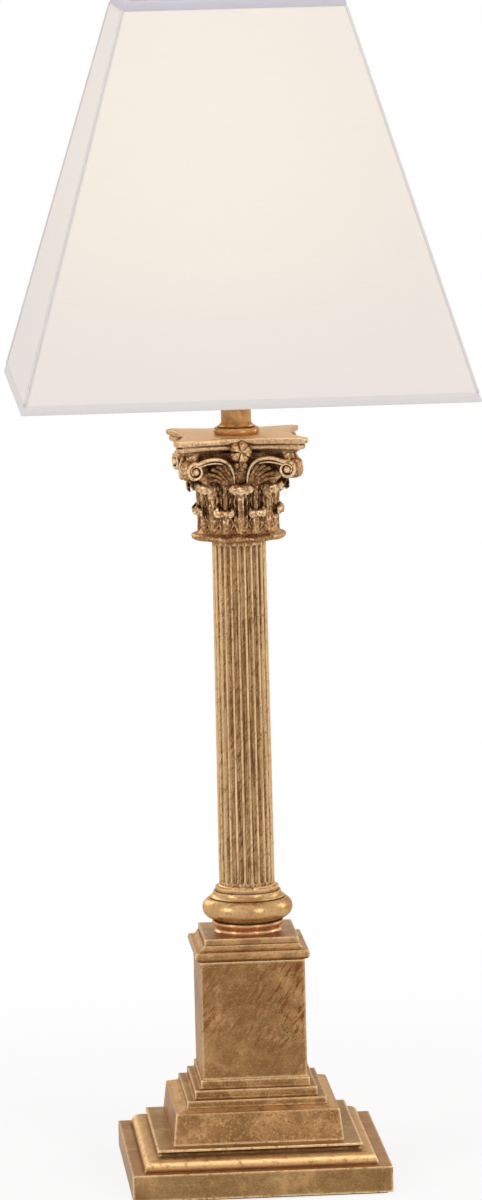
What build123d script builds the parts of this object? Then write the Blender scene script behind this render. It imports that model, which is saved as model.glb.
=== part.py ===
from build123d import *
import os
from math import atan, cos, degrees, hypot, pi, sin, sqrt

# Column table lamp with a square fabric shade. Millimetres, +Z up, front towards -Y.
# The origin is the centre of the underside of the felt pad.

# ---------------------------------------------------------------- clearances
flat_gap = 0.2          # between a spigot and the square bore it locates
round_gap = 0.3         # between a turned spigot and its bore
pipe_gap = 0.3          # between the lamp pipe and the pieces that it passes through
thread_gap = 0.05       # between a thread's crests and the piece screwed on it
running_gap = 0.4       # between round pieces that turn or slide in each other
wire_gap = 0.3          # between the shade's wires and its panels
skin_gap = 0.1          # between the socket's shell and the liner and cap that fit it
switch_gap = 0.3        # between the switch body and the liner
screw_shell_gap = 0.5   # between the screw shell and the liner
bulb_gap = 0.5          # between the bulb's screw and the screw shell
sleeve_room = 1.4       # between the socket's cap and the harp's sleeves
knob_room = 1.6         # between the socket's cap and the knob
saddle_edge = 0.8       # metal left on each side of the pipe's hole in the saddle

# ---------------------------------------------------------------- base plinth
felt_thickness = 1.5
felt_inset = 3.0
ledge_width = 8.9
plinth_face_height = 18.0
plinth_wall = 5.0
crown_margin = 11.8      # from the crown's edge in to the foot block
crown_lip = 1.5
crown_recess_height = 3.6
crown_recess_depth = 1.8
roll_height = 7.9
roll_reach = 9.7
roll_fillet = 0.9
plate_thickness = 4.0
edge_round = 0.6         # worn edges of the castings

# ---------------------------------------------------------------- pedestal
foot_block_height = 21.5
foot_draft = 2.5
foot_bevel_rise = 2.2
foot_bevel_run = 6.6
step_rises = (5.0, 6.0, 6.0)
step_runs = (4.7, 5.8)
step_cove = 1.6
die_width = 72.4
die_height = 82.1
die_wall = 3.5
spigot_height = 3.0
top_step_margin = 1.5
cap_roll_reach = 3.4
cap_roll_height = 6.6
cap_cove_under = 0.5
cap_hollow_rise = 3.9
cap_slab_height = 4.7
cap_slab_inset = 3.6     # from the die's face back to the slab's

# ---------------------------------------------------------------- column
base_foot_height = 4.0
base_foot_flare = 0.2
base_bead_height = 4.0
base_bead_reach = 2.2
base_groove_height = 1.2
base_groove_depth = 3.6
torus_height = 14.4
torus_reach = 5.1
base_cone_height = 4.6
base_cone_run = 2.8
base_fillet_height = 3.2
base_fillet_step = 1.4
base_fillet_margin = 2.0
shaft_radius = 19.3
shaft_taper_run = 0.7
shaft_height = 242.8
shaft_wall = 5.0
shaft_foot_height = 1.3
shaft_foot_flare = 0.7
flute_count = 24
flute_radius = 1.9
flute_offset = 0.4
flute_margin = 2.2

# ---------------------------------------------------------------- capital
neck_ring_radius = 32.8
neck_ring_height = 5.2
bell_radius = 25.0
bell_waist_radius = 25.6
bell_waist_rise = 30.0
bell_lip_radius = 35.0
bell_height = 57.0
leaf_count = 8
leaf_width = 18.0
leaf_thickness = 2.6
lower_leaf_rise = 17.0
lower_leaf_reach = 31.5
upper_leaf_rise = 35.0
upper_leaf_reach = 34.6
volute_radius = 8.8
volute_width = 11.0
volute_reach = 46.0
volute_drop = 11.4
volute_eye = 3.2
abacus_half = 46.1
abacus_concave = 8.7
abacus_cut = 4.2
abacus_layers = ((0.0, 4.2), (3.4, 3.5), (7.0, 2.2))
flower_radius = 8.2
flower_depth = 5.0

# ---------------------------------------------------------------- lamp head
pipe_radius = 4.9
pipe_bore = 3.2
weight_radius = 60.0
weight_height = 20.0
washer_radius = 16.0
washer_thickness = 1.5
nut_across_flats = 17.0
nut_height = 4.6
pipe_end_below_nut = 0.4
bushing_bore = 3.5
bushing_radius = 5.0
bushing_flange = 7.0
bushing_flange_thickness = 1.5
bushing_tail = 2.0
bushing_height = 10.5
collar_ring_radius = 15.9
collar_ring_height = 4.6
collar_groove_radius = 11.6
collar_groove_height = 1.0
collar_flare_radius = 13.2
collar_flare_height = 2.8
collar_tube_radius = 10.4
collar_height = 22.7
saddle_thickness = 1.5
saddle_corner = 6.0
saddle_shoulder_rise = 16.0
prong_width = 8.0
prong_height = 15.0
cap_hub_radius = 8.0
cap_hub_height = 14.5
cap_wall = 0.9
cap_dome_bottom = 8.5
cap_dome_height = 8.0
cap_skirt = 5.0
shell_radius = 16.4
shell_wall = 0.7
shell_height = 42.0
liner_wall = 0.8
switch_height = 21.0
screw_shell_wall = 0.7
screw_shell_height = 21.0
contact_radius = 4.0
contact_height = 2.4
terminal_radius = 2.2
terminal_height = 1.6
knob_stem_radius = 1.7
knob_hole_gap = 0.9
knob_axis_rise = 11.0
knob_inner_depth = 7.0
knob_radius = 6.0
knob_length = 10.0
knob_ridges = 12
knob_groove = 1.0

# ---------------------------------------------------------------- bulb
bulb_thread_pitch = 3.6
bulb_thread_turns = 5
bulb_thread_depth = 0.7
bulb_tip_height = 4.5
bulb_neck_step = 1.1
bulb_globe_radius = 30.0
bulb_length = 108.0
bulb_glass_wall = 0.9
bulb_seat_gap = 0.2

# ---------------------------------------------------------------- harp
harp_wire = 1.6
harp_half_width = 57.0
harp_crown_radius = 40.0
sleeve_travel = 12.0
harp_shoulder_rise = 102.0
harp_foot_height = 13.0
harp_pad_radius = 6.5
sleeve_length = 16.0
sleeve_bore = 4.9
sleeve_wall = 0.8
stud_flange_height = 2.0
stud_radius = 3.1
stud_height = 15.0

# ---------------------------------------------------------------- shade
shade_bottom_width = 305.0
shade_top_width = 146.6
shade_height = 267.8
shade_drop = 14.5       # from the shade's top edge down to its fitter washer
shade_overhang = 32.4   # from the abacus's top up to the shade's bottom edge
panel_thickness = 1.2
trim_height = 6.2
trim_thickness = 0.8
piping_radius = 1.1
ring_wire = 1.5
ring_inset = 3.0
ring_corner = 5.0
rib_wire = 1.1
arm_wire = 1.3
fitter_radius = 13.0
fitter_hole = 5.0
fitter_thickness = 1.4
spider_start = 11.2
spider_flat = 30.0

# ---------------------------------------------------------------- finial
finial_base_radius = 8.0
finial_neck_radius = 3.9
finial_ball_radius = 9.5
finial_tip_radius = 2.6
finial_base_height = 4.0
finial_height = 45.0

# ---------------------------------------------------------------- levels and widths
steps_width = die_width + 2 * (top_step_margin + sum(step_runs) + step_cove)
foot_width = steps_width + 2 * (foot_bevel_run + foot_draft)
crown_width = foot_width + 2 * crown_margin
plinth_width = crown_width + 2 * (roll_reach + ledge_width)
cap_slab_width = die_width - 2 * cap_slab_inset
shaft_top_radius = shaft_radius - shaft_taper_run
base_fillet_radius = shaft_radius + shaft_foot_flare + base_fillet_margin
base_cone_top = base_fillet_radius + base_fillet_step
base_cone_bottom = base_cone_top + base_cone_run
base_groove_radius = base_cone_bottom - base_groove_depth
base_bead_radius = base_groove_radius + base_bead_reach
base_foot_radius = base_groove_radius + base_foot_flare
torus_radius = base_cone_bottom + torus_reach
plinth_bottom = felt_thickness
plinth_ledge = plinth_bottom + plinth_face_height
plinth_top = plinth_ledge + roll_height + crown_recess_height + crown_lip
foot_block_top = plinth_top + foot_block_height
die_bottom = foot_block_top + foot_bevel_rise + sum(step_rises)
die_top = die_bottom + die_height
cap_top = die_top + cap_cove_under + cap_roll_height + cap_hollow_rise + cap_slab_height
base_levels = (base_foot_height, base_bead_height, base_groove_height, torus_height)
shaft_bottom = cap_top + sum(base_levels) + base_cone_height + base_fillet_height
shaft_top = shaft_bottom + shaft_height
bell_bottom = shaft_top + neck_ring_height
abacus_bottom = bell_bottom + bell_height
abacus_top = abacus_bottom + sum(height for inset, height in abacus_layers)
collar_top = abacus_top + collar_height
saddle_top = collar_top + saddle_thickness
socket_floor = saddle_top + cap_hub_height
shell_bottom = saddle_top + cap_dome_bottom + cap_dome_height
screw_bottom = socket_floor + switch_height
pipe_top = socket_floor - 1.0
weight_top = plinth_top - plate_thickness
washer_top = weight_top - weight_height
nut_top = washer_top - washer_thickness
pipe_bottom = nut_top - nut_height - pipe_end_below_nut
shade_bottom = abacus_top + shade_overhang
shade_top = shade_bottom + shade_height
fitter_bottom = shade_top - shade_drop
fitter_top = fitter_bottom + fitter_thickness
pipe_hole = pipe_radius + pipe_gap
saddle_width = 2 * (pipe_hole + saddle_edge)
cap_outer_radius = shell_radius + skin_gap + cap_wall
liner_radius = shell_radius - shell_wall - skin_gap
liner_bore = liner_radius - liner_wall
switch_radius = liner_bore - switch_gap
screw_shell_radius = liner_bore - screw_shell_gap
bulb_screw_radius = screw_shell_radius - screw_shell_wall - bulb_gap
bulb_neck_radius = bulb_screw_radius + bulb_neck_step
sleeve_radius = sleeve_bore + sleeve_wall
saddle_half_span = cap_outer_radius + sleeve_room + sleeve_radius + saddle_thickness
knob_reach = cap_outer_radius + knob_room
shade_slope = (shade_bottom_width - shade_top_width) / 2 / shade_height
die_bore = die_width - 2 * die_wall
spigot_width = die_bore - 2 * flat_gap
shaft_bore = shaft_top_radius - shaft_wall
spigot_radius = shaft_bore - round_gap
bottom_align = (Align.CENTER, Align.CENTER, Align.MIN)


def finish(piece, label):
    """Label a finished piece and write it under its own name."""
    piece.part.label = label
    export_step(piece.part, f"parts/{label}.step")


def square_moulding(draw_outline, reach):
    """Solid of square plan: each of its four faces has the outline that draw_outline draws.

    draw_outline returns the points of the outline whose edges are worn round.
    """
    with BuildPart() as moulding:
        for plane, mode in ((Plane.XZ, Mode.ADD), (Plane.YZ, Mode.INTERSECT)):
            with BuildSketch(plane) as elevation:
                with BuildLine():
                    worn_points = draw_outline()
                make_face()
                worn_corners = [corner for corner in elevation.vertices()
                                if any(hypot(corner.X - x, corner.Y - z) < 0.01
                                       for x, z in worn_points)]
                fillet(worn_corners, edge_round)
                mirror(about=Plane.YZ)
            extrude(elevation.sketch, amount=reach, both=True, mode=mode)
    return moulding.part


def pyramid(bottom_width, top_width, bottom, top):
    """Square frustum between two levels."""
    with BuildPart() as frustum:
        with BuildSketch(Plane.XY.offset(bottom)):
            Rectangle(bottom_width, bottom_width)
        with BuildSketch(Plane.XY.offset(top)):
            Rectangle(top_width, top_width)
        loft()
    return frustum.part


# ================================================================ base plinth
with BuildPart() as felt_pad:
    felt_width = plinth_width - 2 * felt_inset
    Box(felt_width, felt_width, felt_thickness, align=bottom_align)
finish(felt_pad, "felt_pad")


def plinth_outline():
    """Right half of the plinth's elevation, from the middle of its underside."""
    half = plinth_width / 2
    crown = crown_width / 2
    roll_top = plinth_ledge + roll_height
    lip_bottom = plinth_top - crown_lip
    Polyline((0, plinth_bottom), (half, plinth_bottom), (half, plinth_ledge),
             (crown + roll_reach, plinth_ledge), (crown + roll_reach, plinth_ledge + roll_fillet))
    EllipticalCenterArc((crown, plinth_ledge + roll_fillet), roll_reach,
                        roll_height - roll_fillet, start_angle=0, arc_size=90)
    ThreePointArc((crown, roll_top),
                  (crown - crown_recess_depth, (roll_top + lip_bottom) / 2), (crown, lip_bottom))
    Polyline((crown, lip_bottom), (crown, plinth_top), (0, plinth_top), (0, plinth_bottom))
    return (half, plinth_ledge), (crown, plinth_top)


plinth_form = square_moulding(plinth_outline, plinth_width)
with BuildPart() as base_plinth:
    add(plinth_form)
    with Locations((0, 0, plinth_bottom)):
        lower_room = plinth_width - 2 * plinth_wall
        Box(lower_room, lower_room, plinth_face_height - plate_thickness, align=bottom_align,
            mode=Mode.SUBTRACT)
        upper_room = crown_width - 2 * (crown_recess_depth + plate_thickness)
        Box(upper_room, upper_room, weight_top - plinth_bottom, align=bottom_align,
            mode=Mode.SUBTRACT)
    with BuildSketch(Plane.XY.offset(plinth_top)):
        Circle(pipe_hole)
    extrude(amount=-2 * plate_thickness, mode=Mode.SUBTRACT)
    with BuildSketch(Plane.XZ.offset(-plinth_width / 2)):
        with Locations((0, bushing_height)):
            Circle(bushing_radius + flat_gap)
    extrude(amount=2 * plinth_wall, mode=Mode.SUBTRACT)
finish(base_plinth, "base_plinth")

with BuildPart() as base_weight:
    with Locations((0, 0, washer_top)):
        Cylinder(weight_radius, weight_height, align=bottom_align)
        Cylinder(pipe_hole, weight_height, align=bottom_align, mode=Mode.SUBTRACT)
    rims = base_weight.edges().filter_by(GeomType.CIRCLE).sort_by(SortBy.RADIUS)[-2:]
    chamfer(rims, 1.5)
finish(base_weight, "base_weight")

with BuildPart() as bottom_washer:
    with Locations((0, 0, nut_top)):
        Cylinder(washer_radius, washer_thickness, align=bottom_align)
        Cylinder(pipe_hole, washer_thickness, align=bottom_align, mode=Mode.SUBTRACT)
finish(bottom_washer, "bottom_washer")

with BuildPart() as bottom_nut:
    with BuildSketch(Plane.XY.offset(nut_top - nut_height)):
        RegularPolygon(nut_across_flats / 2, 6, major_radius=False)
        Circle(pipe_radius + thread_gap, mode=Mode.SUBTRACT)
    extrude(amount=nut_height)
finish(bottom_nut, "bottom_nut")

with BuildPart() as cord_bushing:
    with BuildSketch(Plane.XZ.offset(-plinth_width / 2)):
        with Locations((0, bushing_height)):
            Circle(bushing_flange)
    extrude(amount=-bushing_flange_thickness)
    with BuildSketch(Plane.XZ.offset(-plinth_width / 2)):
        with Locations((0, bushing_height)):
            Circle(bushing_radius)
    extrude(amount=plinth_wall + bushing_tail)
    with BuildSketch(Plane.XZ.offset(-plinth_width / 2 - bushing_flange_thickness)):
        with Locations((0, bushing_height)):
            Circle(bushing_bore)
    extrude(amount=plinth_wall + bushing_tail + bushing_flange_thickness, mode=Mode.SUBTRACT)
    outer_rim = cord_bushing.edges().filter_by(GeomType.CIRCLE).group_by(Axis.Y)[-1]
    fillet(outer_rim, 0.5)
finish(cord_bushing, "cord_bushing")

with BuildPart() as lamp_pipe:
    with BuildSketch(Plane.XY.offset(pipe_bottom)):
        Circle(pipe_radius)
        Circle(pipe_bore, mode=Mode.SUBTRACT)
    extrude(amount=pipe_top - pipe_bottom)
finish(lamp_pipe, "lamp_pipe")


# ================================================================ pedestal
def foot_outline():
    """Right half of the foot's elevation: drafted block, bevel and three coved steps."""
    half = foot_width / 2
    level = foot_block_top + foot_bevel_rise
    reach = steps_width / 2 - step_cove
    worn = [(half - foot_draft, foot_block_top)]
    Polyline((0, plinth_top), (half, plinth_top), (half - foot_draft, foot_block_top),
             (reach + step_cove, level))
    for rise, run in zip(step_rises, step_runs[::-1] + (0.0,)):
        ThreePointArc((reach + step_cove, level),
                      (reach + step_cove * (1 - cos(pi / 4)), level + step_cove * (1 - sin(pi / 4))),
                      (reach, level + step_cove))
        Line((reach, level + step_cove), (reach, level + rise))
        worn.append((reach, level + rise))
        if run:
            Line((reach, level + rise), (reach - run + step_cove, level + rise))
        reach -= run
        level += rise
    Polyline((reach, level), (0, level), (0, plinth_top))
    return worn


foot_form = square_moulding(foot_outline, foot_width)
with BuildPart() as pedestal_foot:
    add(foot_form)
    with Locations((0, 0, plinth_top)):
        block_room = foot_width - 2 * (foot_draft + plinth_wall)
        Box(block_room, block_room, foot_block_height - plate_thickness, align=bottom_align,
            mode=Mode.SUBTRACT)
        Box(die_bore, die_bore, die_bottom - plinth_top - plate_thickness, align=bottom_align,
            mode=Mode.SUBTRACT)
    with Locations((0, 0, die_bottom)):
        Box(spigot_width, spigot_width, spigot_height, align=bottom_align)
        Cylinder(pipe_hole, 4 * plate_thickness, mode=Mode.SUBTRACT)
finish(pedestal_foot, "pedestal_foot")

with BuildPart() as pedestal_die:
    with BuildSketch(Plane.XY.offset(die_bottom)):
        Rectangle(die_width, die_width)
        Rectangle(die_bore, die_bore, mode=Mode.SUBTRACT)
    extrude(amount=die_height)
    corners = pedestal_die.edges().filter_by(Axis.Z).group_by(SortBy.DISTANCE)[-1]
    fillet(corners, 0.8)
finish(pedestal_die, "pedestal_die")


def cap_outline():
    """Right half of the cap's elevation: roll, hollow moulding and slab."""
    roll_edge = die_width / 2
    roll_bottom = die_top + cap_cove_under
    roll_top = roll_bottom + cap_roll_height
    slab_half = cap_slab_width / 2
    slab_bottom = roll_top + cap_hollow_rise
    hollow_edge = roll_edge + cap_roll_reach - 0.8
    Polyline((0, die_top), (roll_edge - 0.6, die_top), (roll_edge, roll_bottom))
    ThreePointArc((roll_edge, roll_bottom),
                  (roll_edge + cap_roll_reach, roll_bottom + cap_roll_height * 0.46),
                  (hollow_edge, roll_top))
    ThreePointArc((hollow_edge, roll_top),
                  ((hollow_edge + slab_half) / 2 - 0.6, (roll_top + slab_bottom) / 2 - 0.9),
                  (slab_half + 0.8, slab_bottom))
    Polyline((slab_half + 0.8, slab_bottom), (slab_half, slab_bottom), (slab_half, cap_top),
             (0, cap_top), (0, die_top))
    return ((slab_half, cap_top),)


cap_form = square_moulding(cap_outline, die_width)
with BuildPart() as pedestal_cap:
    add(cap_form)
    with Locations((0, 0, die_top)):
        Box(spigot_width, spigot_width, spigot_height,
            align=(Align.CENTER, Align.CENTER, Align.MAX))
    with Locations((0, 0, die_top - spigot_height)):
        cap_room = cap_slab_width - 2 * plate_thickness
        Box(cap_room, cap_room, cap_top - die_top + spigot_height - plate_thickness,
            align=bottom_align, mode=Mode.SUBTRACT)
    with Locations((0, 0, cap_top)):
        Cylinder(pipe_hole, 4 * plate_thickness, mode=Mode.SUBTRACT)
finish(pedestal_cap, "pedestal_cap")

# ================================================================ column
with BuildPart() as column_base:
    with BuildSketch(Plane.XZ):
        with BuildLine():
            bead_bottom = cap_top + base_foot_height
            bead_top = bead_bottom + base_bead_height
            torus_bottom = bead_top + base_groove_height
            torus_top = torus_bottom + torus_height
            cone_top = torus_top + base_cone_height
            Polyline((pipe_hole, cap_top), (base_foot_radius + 0.6, cap_top))
            ThreePointArc((base_foot_radius + 0.6, cap_top),
                          (base_foot_radius - 1.0, (cap_top + bead_bottom) / 2),
                          (base_groove_radius, bead_bottom))
            ThreePointArc((base_groove_radius, bead_bottom),
                          (base_bead_radius, (bead_bottom + bead_top) / 2),
                          (base_groove_radius, bead_top))
            Polyline((base_groove_radius, bead_top), (base_groove_radius, torus_bottom),
                     (base_cone_bottom - 1.5, torus_bottom))
            ThreePointArc((base_cone_bottom - 1.5, torus_bottom),
                          (torus_radius, (torus_bottom + torus_top) / 2),
                          (base_cone_bottom - 0.8, torus_top))
            Line((base_cone_bottom - 0.8, torus_top), (base_cone_bottom, torus_top + 0.6))
            ThreePointArc((base_cone_bottom, torus_top + 0.6),
                          ((base_cone_bottom + base_cone_top) / 2 - 0.7,
                           (torus_top + cone_top) / 2),
                          (base_cone_top, cone_top))
            Polyline((base_cone_top, cone_top), (base_fillet_radius, cone_top),
                     (base_fillet_radius, shaft_bottom), (spigot_radius, shaft_bottom),
                     (spigot_radius, shaft_bottom + spigot_height),
                     (pipe_hole, shaft_bottom + spigot_height), (pipe_hole, cap_top))
        make_face()
    revolve(axis=Axis.Z)
finish(column_base, "column_base")

shaft_taper = atan((shaft_radius - shaft_top_radius) / shaft_height)
with BuildPart() as column_shaft:
    with BuildSketch(Plane.XZ):
        with BuildLine():
            foot_top = shaft_bottom + shaft_foot_height
            head_bottom = shaft_top - shaft_foot_height
            Polyline((shaft_bore, shaft_bottom), (shaft_radius + shaft_foot_flare, shaft_bottom),
                     (shaft_radius + shaft_foot_flare, foot_top - 0.5), (shaft_radius, foot_top),
                     (shaft_top_radius, head_bottom),
                     (shaft_top_radius + shaft_foot_flare, head_bottom + 0.5),
                     (shaft_top_radius + shaft_foot_flare, shaft_top), (shaft_bore, shaft_top),
                     (shaft_bore, shaft_bottom))
        make_face()
    revolve(axis=Axis.Z)
    flute_length = shaft_height - 2 * (shaft_foot_height + flute_margin + flute_radius)
    middle_radius = (shaft_radius + shaft_top_radius) / 2 + flute_offset
    with BuildPart(mode=Mode.PRIVATE) as flute:
        Cylinder(flute_radius, flute_length)
        with Locations((0, 0, flute_length / 2), (0, 0, -flute_length / 2)):
            Sphere(flute_radius)
    with Locations((0, 0, (shaft_bottom + shaft_top) / 2)):
        with PolarLocations(middle_radius, flute_count):
            with Locations(Rotation(0, -degrees(shaft_taper), 0)):
                add(flute.part, mode=Mode.SUBTRACT)
finish(column_shaft, "column_shaft")


# ================================================================ capital
def acanthus_leaf(rise, reach, width):
    """One leaf on the +X side of the bell, curling outwards at its tip."""
    root = bell_radius - 1.5
    tip = bell_bottom + rise
    with BuildPart() as leaf:
        with BuildSketch(Plane.XZ):
            with BuildLine():
                Line((root, bell_bottom), (root + leaf_thickness + 1.5, bell_bottom))
                Spline((root + leaf_thickness + 1.5, bell_bottom),
                       (root + leaf_thickness + 1.0, bell_bottom + rise * 0.55),
                       (reach, tip - leaf_thickness),
                       tangents=((0, 1), (1, 0)))
                Line((reach, tip - leaf_thickness), (reach - 0.6, tip - 0.4))
                Spline((reach - 0.6, tip - 0.4),
                       (root + leaf_thickness + 1.0, tip - 1.0),
                       (root, bell_bottom + rise * 0.6),
                       tangents=((-1, 0.3), (0, -1)))
                Line((root, bell_bottom + rise * 0.6), (root, bell_bottom))
            make_face()
        extrude(amount=width / 2, both=True)
        with BuildSketch(Plane.YZ) as front:
            with Locations((0, bell_bottom + rise / 2 - 2)):
                RectangleRounded(width, rise + 4, width * 0.44)
        extrude(front.sketch, amount=2 * reach, mode=Mode.INTERSECT)
    return leaf.part


def abacus_outline(inset):
    """Square with concave sides and cut horns, drawn in the current line."""
    tip = abacus_half - inset * 0.75
    cut = tip - abacus_cut
    middle = abacus_half - abacus_concave - inset
    points = ((cut, -tip), (tip, -cut), (tip, cut), (cut, tip),
              (-cut, tip), (-tip, cut), (-tip, -cut), (-cut, -tip))
    middles = ((middle, 0), (0, middle), (-middle, 0), (0, -middle))
    for side in range(4):
        Line(points[2 * side], points[2 * side + 1])
        ThreePointArc(points[2 * side + 1], middles[side], points[(2 * side + 2) % 8])


def volute_stem():
    """Scroll and its stem on the +X side, lying in the XZ plane."""
    centre = abacus_bottom - volute_drop + volute_radius - 6.2
    with BuildPart() as scroll:
        with BuildSketch(Plane.XZ):
            with Locations((volute_reach, centre)):
                Circle(volute_radius)
        extrude(amount=volute_width / 2, both=True)
        with BuildSketch(Plane.XZ):
            with Locations((volute_reach, centre)):
                Circle(volute_eye)
        extrude(amount=volute_width / 2 + 1.0, both=True)
        with BuildSketch(Plane.XZ):
            with BuildLine():
                Polyline((bell_radius - 3, centre - 18), (bell_radius + 1, centre - 18),
                         (volute_reach - 4, centre - volute_radius * 0.8),
                         (volute_reach, centre), (volute_reach, abacus_bottom),
                         (bell_radius - 3, abacus_bottom), (bell_radius - 3, centre - 18))
            make_face()
        extrude(amount=volute_width * 0.36, both=True)
    return scroll.part


lower_leaf = acanthus_leaf(lower_leaf_rise, lower_leaf_reach, leaf_width)
upper_leaf = acanthus_leaf(upper_leaf_rise, upper_leaf_reach, leaf_width * 0.9)
scroll_form = volute_stem()
with BuildPart() as capital:
    with BuildSketch(Plane.XZ):
        with BuildLine():
            ring_round = neck_ring_height / 2
            Polyline((0, shaft_top), (neck_ring_radius - ring_round, shaft_top))
            ThreePointArc((neck_ring_radius - ring_round, shaft_top),
                          (neck_ring_radius, shaft_top + ring_round),
                          (neck_ring_radius - ring_round, bell_bottom))
            Line((neck_ring_radius - ring_round, bell_bottom), (bell_radius, bell_bottom))
            Spline((bell_radius, bell_bottom),
                   (bell_waist_radius, bell_bottom + bell_waist_rise),
                   (bell_lip_radius, abacus_bottom),
                   tangents=((0, 1), (1, 0.8)))
            Polyline((bell_lip_radius, abacus_bottom), (0, abacus_bottom), (0, shaft_top))
        make_face()
    revolve(axis=Axis.Z)
    with PolarLocations(0, leaf_count, start_angle=180 / leaf_count):
        add(lower_leaf)
    with PolarLocations(0, leaf_count):
        add(upper_leaf)
    with PolarLocations(0, 4, start_angle=45):
        add(scroll_form)
    layer_top = abacus_top
    for layer_inset, layer_height in abacus_layers:
        with BuildSketch(Plane.XY.offset(layer_top - layer_height)):
            with BuildLine():
                abacus_outline(layer_inset)
            make_face()
        extrude(amount=layer_height)
        layer_top -= layer_height
    flower_face = abacus_half - abacus_concave - 2.0
    for turn in range(4):
        face_plane = Plane.XZ.rotated((0, 0, 90 * turn)).offset(flower_face)
        with BuildSketch(face_plane):
            with Locations((0, abacus_top - flower_radius - 0.6)):
                Circle(flower_radius)
        extrude(amount=flower_depth, taper=20)
    with Locations((0, 0, shaft_top)):
        Cylinder(spigot_radius, spigot_height, align=(Align.CENTER, Align.CENTER, Align.MAX))
    with Locations((0, 0, shaft_top - spigot_height)):
        core_height = abacus_bottom - shaft_top + spigot_height - plate_thickness
        Cylinder(shaft_bore - plate_thickness, core_height, align=bottom_align,
                 mode=Mode.SUBTRACT)
        Cylinder(pipe_hole, abacus_top - shaft_top + spigot_height, align=bottom_align,
                 mode=Mode.SUBTRACT)
finish(capital, "capital")

# ================================================================ lamp head
with BuildPart() as neck_collar:
    with BuildSketch(Plane.XZ):
        with BuildLine():
            ring_top = abacus_top + collar_ring_height
            groove_top = ring_top + collar_groove_height
            flare_top = groove_top + collar_flare_height
            Line((pipe_hole, abacus_top), (collar_ring_radius - 1.2, abacus_top))
            ThreePointArc((collar_ring_radius - 1.2, abacus_top),
                          (collar_ring_radius, (abacus_top + ring_top) / 2),
                          (collar_ring_radius - 1.2, ring_top))
            Polyline((collar_ring_radius - 1.2, ring_top), (collar_groove_radius, ring_top),
                     (collar_groove_radius, groove_top), (collar_flare_radius, groove_top))
            ThreePointArc((collar_flare_radius, groove_top),
                          (collar_tube_radius + 0.7, (groove_top + flare_top) / 2),
                          (collar_tube_radius, flare_top))
            Polyline((collar_tube_radius, flare_top), (collar_tube_radius, collar_top),
                     (pipe_hole, collar_top), (pipe_hole, abacus_top))
        make_face()
    revolve(axis=Axis.Z)
finish(neck_collar, "neck_collar")

prong_top = collar_top + saddle_shoulder_rise + prong_height
with BuildPart() as harp_saddle:
    with BuildSketch(Plane.XZ):
        with BuildLine():
            Polyline((-saddle_half_span, prong_top),
                     (-saddle_half_span, collar_top + saddle_corner),
                     (-saddle_half_span + saddle_corner, collar_top),
                     (saddle_half_span - saddle_corner, collar_top),
                     (saddle_half_span, collar_top + saddle_corner),
                     (saddle_half_span, prong_top))
            offset(amount=saddle_thickness, side=Side.LEFT)
        make_face()
    extrude(amount=saddle_width / 2, both=True)
    with Locations((0, 0, collar_top)):
        Cylinder(pipe_hole, 4 * saddle_thickness, mode=Mode.SUBTRACT)
    notch = (saddle_width - prong_width) / 2
    with Locations((0, (prong_width + notch) / 2, prong_top),
                   (0, -(prong_width + notch) / 2, prong_top)):
        Box(2 * saddle_half_span + 2, notch, prong_height,
            align=(Align.CENTER, Align.CENTER, Align.MAX), mode=Mode.SUBTRACT)
finish(harp_saddle, "harp_saddle")

with BuildPart() as socket_cap:
    with BuildSketch(Plane.XZ):
        with BuildLine():
            inner = shell_radius + skin_gap
            outer = cap_outer_radius
            bore = pipe_radius + thread_gap
            dome_low = shell_bottom - cap_dome_height
            hub_base = dome_low - cap_wall
            Polyline((bore, saddle_top), (cap_hub_radius, saddle_top), (cap_hub_radius, hub_base))
            EllipticalCenterArc((cap_hub_radius, shell_bottom), outer - cap_hub_radius,
                                cap_dome_height + cap_wall, start_angle=270, arc_size=90)
            Polyline((outer, shell_bottom), (outer, shell_bottom + cap_skirt),
                     (inner, shell_bottom + cap_skirt), (inner, shell_bottom))
            EllipticalCenterArc((cap_hub_radius, shell_bottom), inner - cap_hub_radius,
                                cap_dome_height, start_angle=270, arc_size=90)
            Polyline((cap_hub_radius, dome_low), (cap_hub_radius, socket_floor),
                     (bore, socket_floor), (bore, saddle_top))
        make_face()
    revolve(axis=Axis.Z)
finish(socket_cap, "socket_cap")

knob_level = socket_floor + knob_axis_rise
shell_top = shell_bottom + shell_height
with BuildPart() as socket_shell:
    with BuildSketch(Plane.XY.offset(shell_bottom)):
        Circle(shell_radius)
        Circle(shell_radius - shell_wall, mode=Mode.SUBTRACT)
    extrude(amount=shell_height)
    with BuildSketch(Plane.XY.offset(shell_top - 1.5)):
        Circle(shell_radius + 0.5)
        Circle(shell_radius - shell_wall, mode=Mode.SUBTRACT)
    extrude(amount=1.5)
    with BuildSketch(Plane.XZ):
        with Locations((0, knob_level)):
            Circle(knob_stem_radius + knob_hole_gap)
    extrude(amount=2 * shell_radius, mode=Mode.SUBTRACT)
finish(socket_shell, "socket_shell")

with BuildPart() as socket_liner:
    with BuildSketch(Plane.XY.offset(shell_bottom)):
        Circle(liner_radius)
        Circle(liner_bore, mode=Mode.SUBTRACT)
    extrude(amount=shell_height - 1.0)
    with BuildSketch(Plane.XZ):
        with Locations((0, knob_level)):
            Circle(knob_stem_radius + knob_hole_gap)
    extrude(amount=2 * shell_radius, mode=Mode.SUBTRACT)
finish(socket_liner, "socket_liner")

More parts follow.
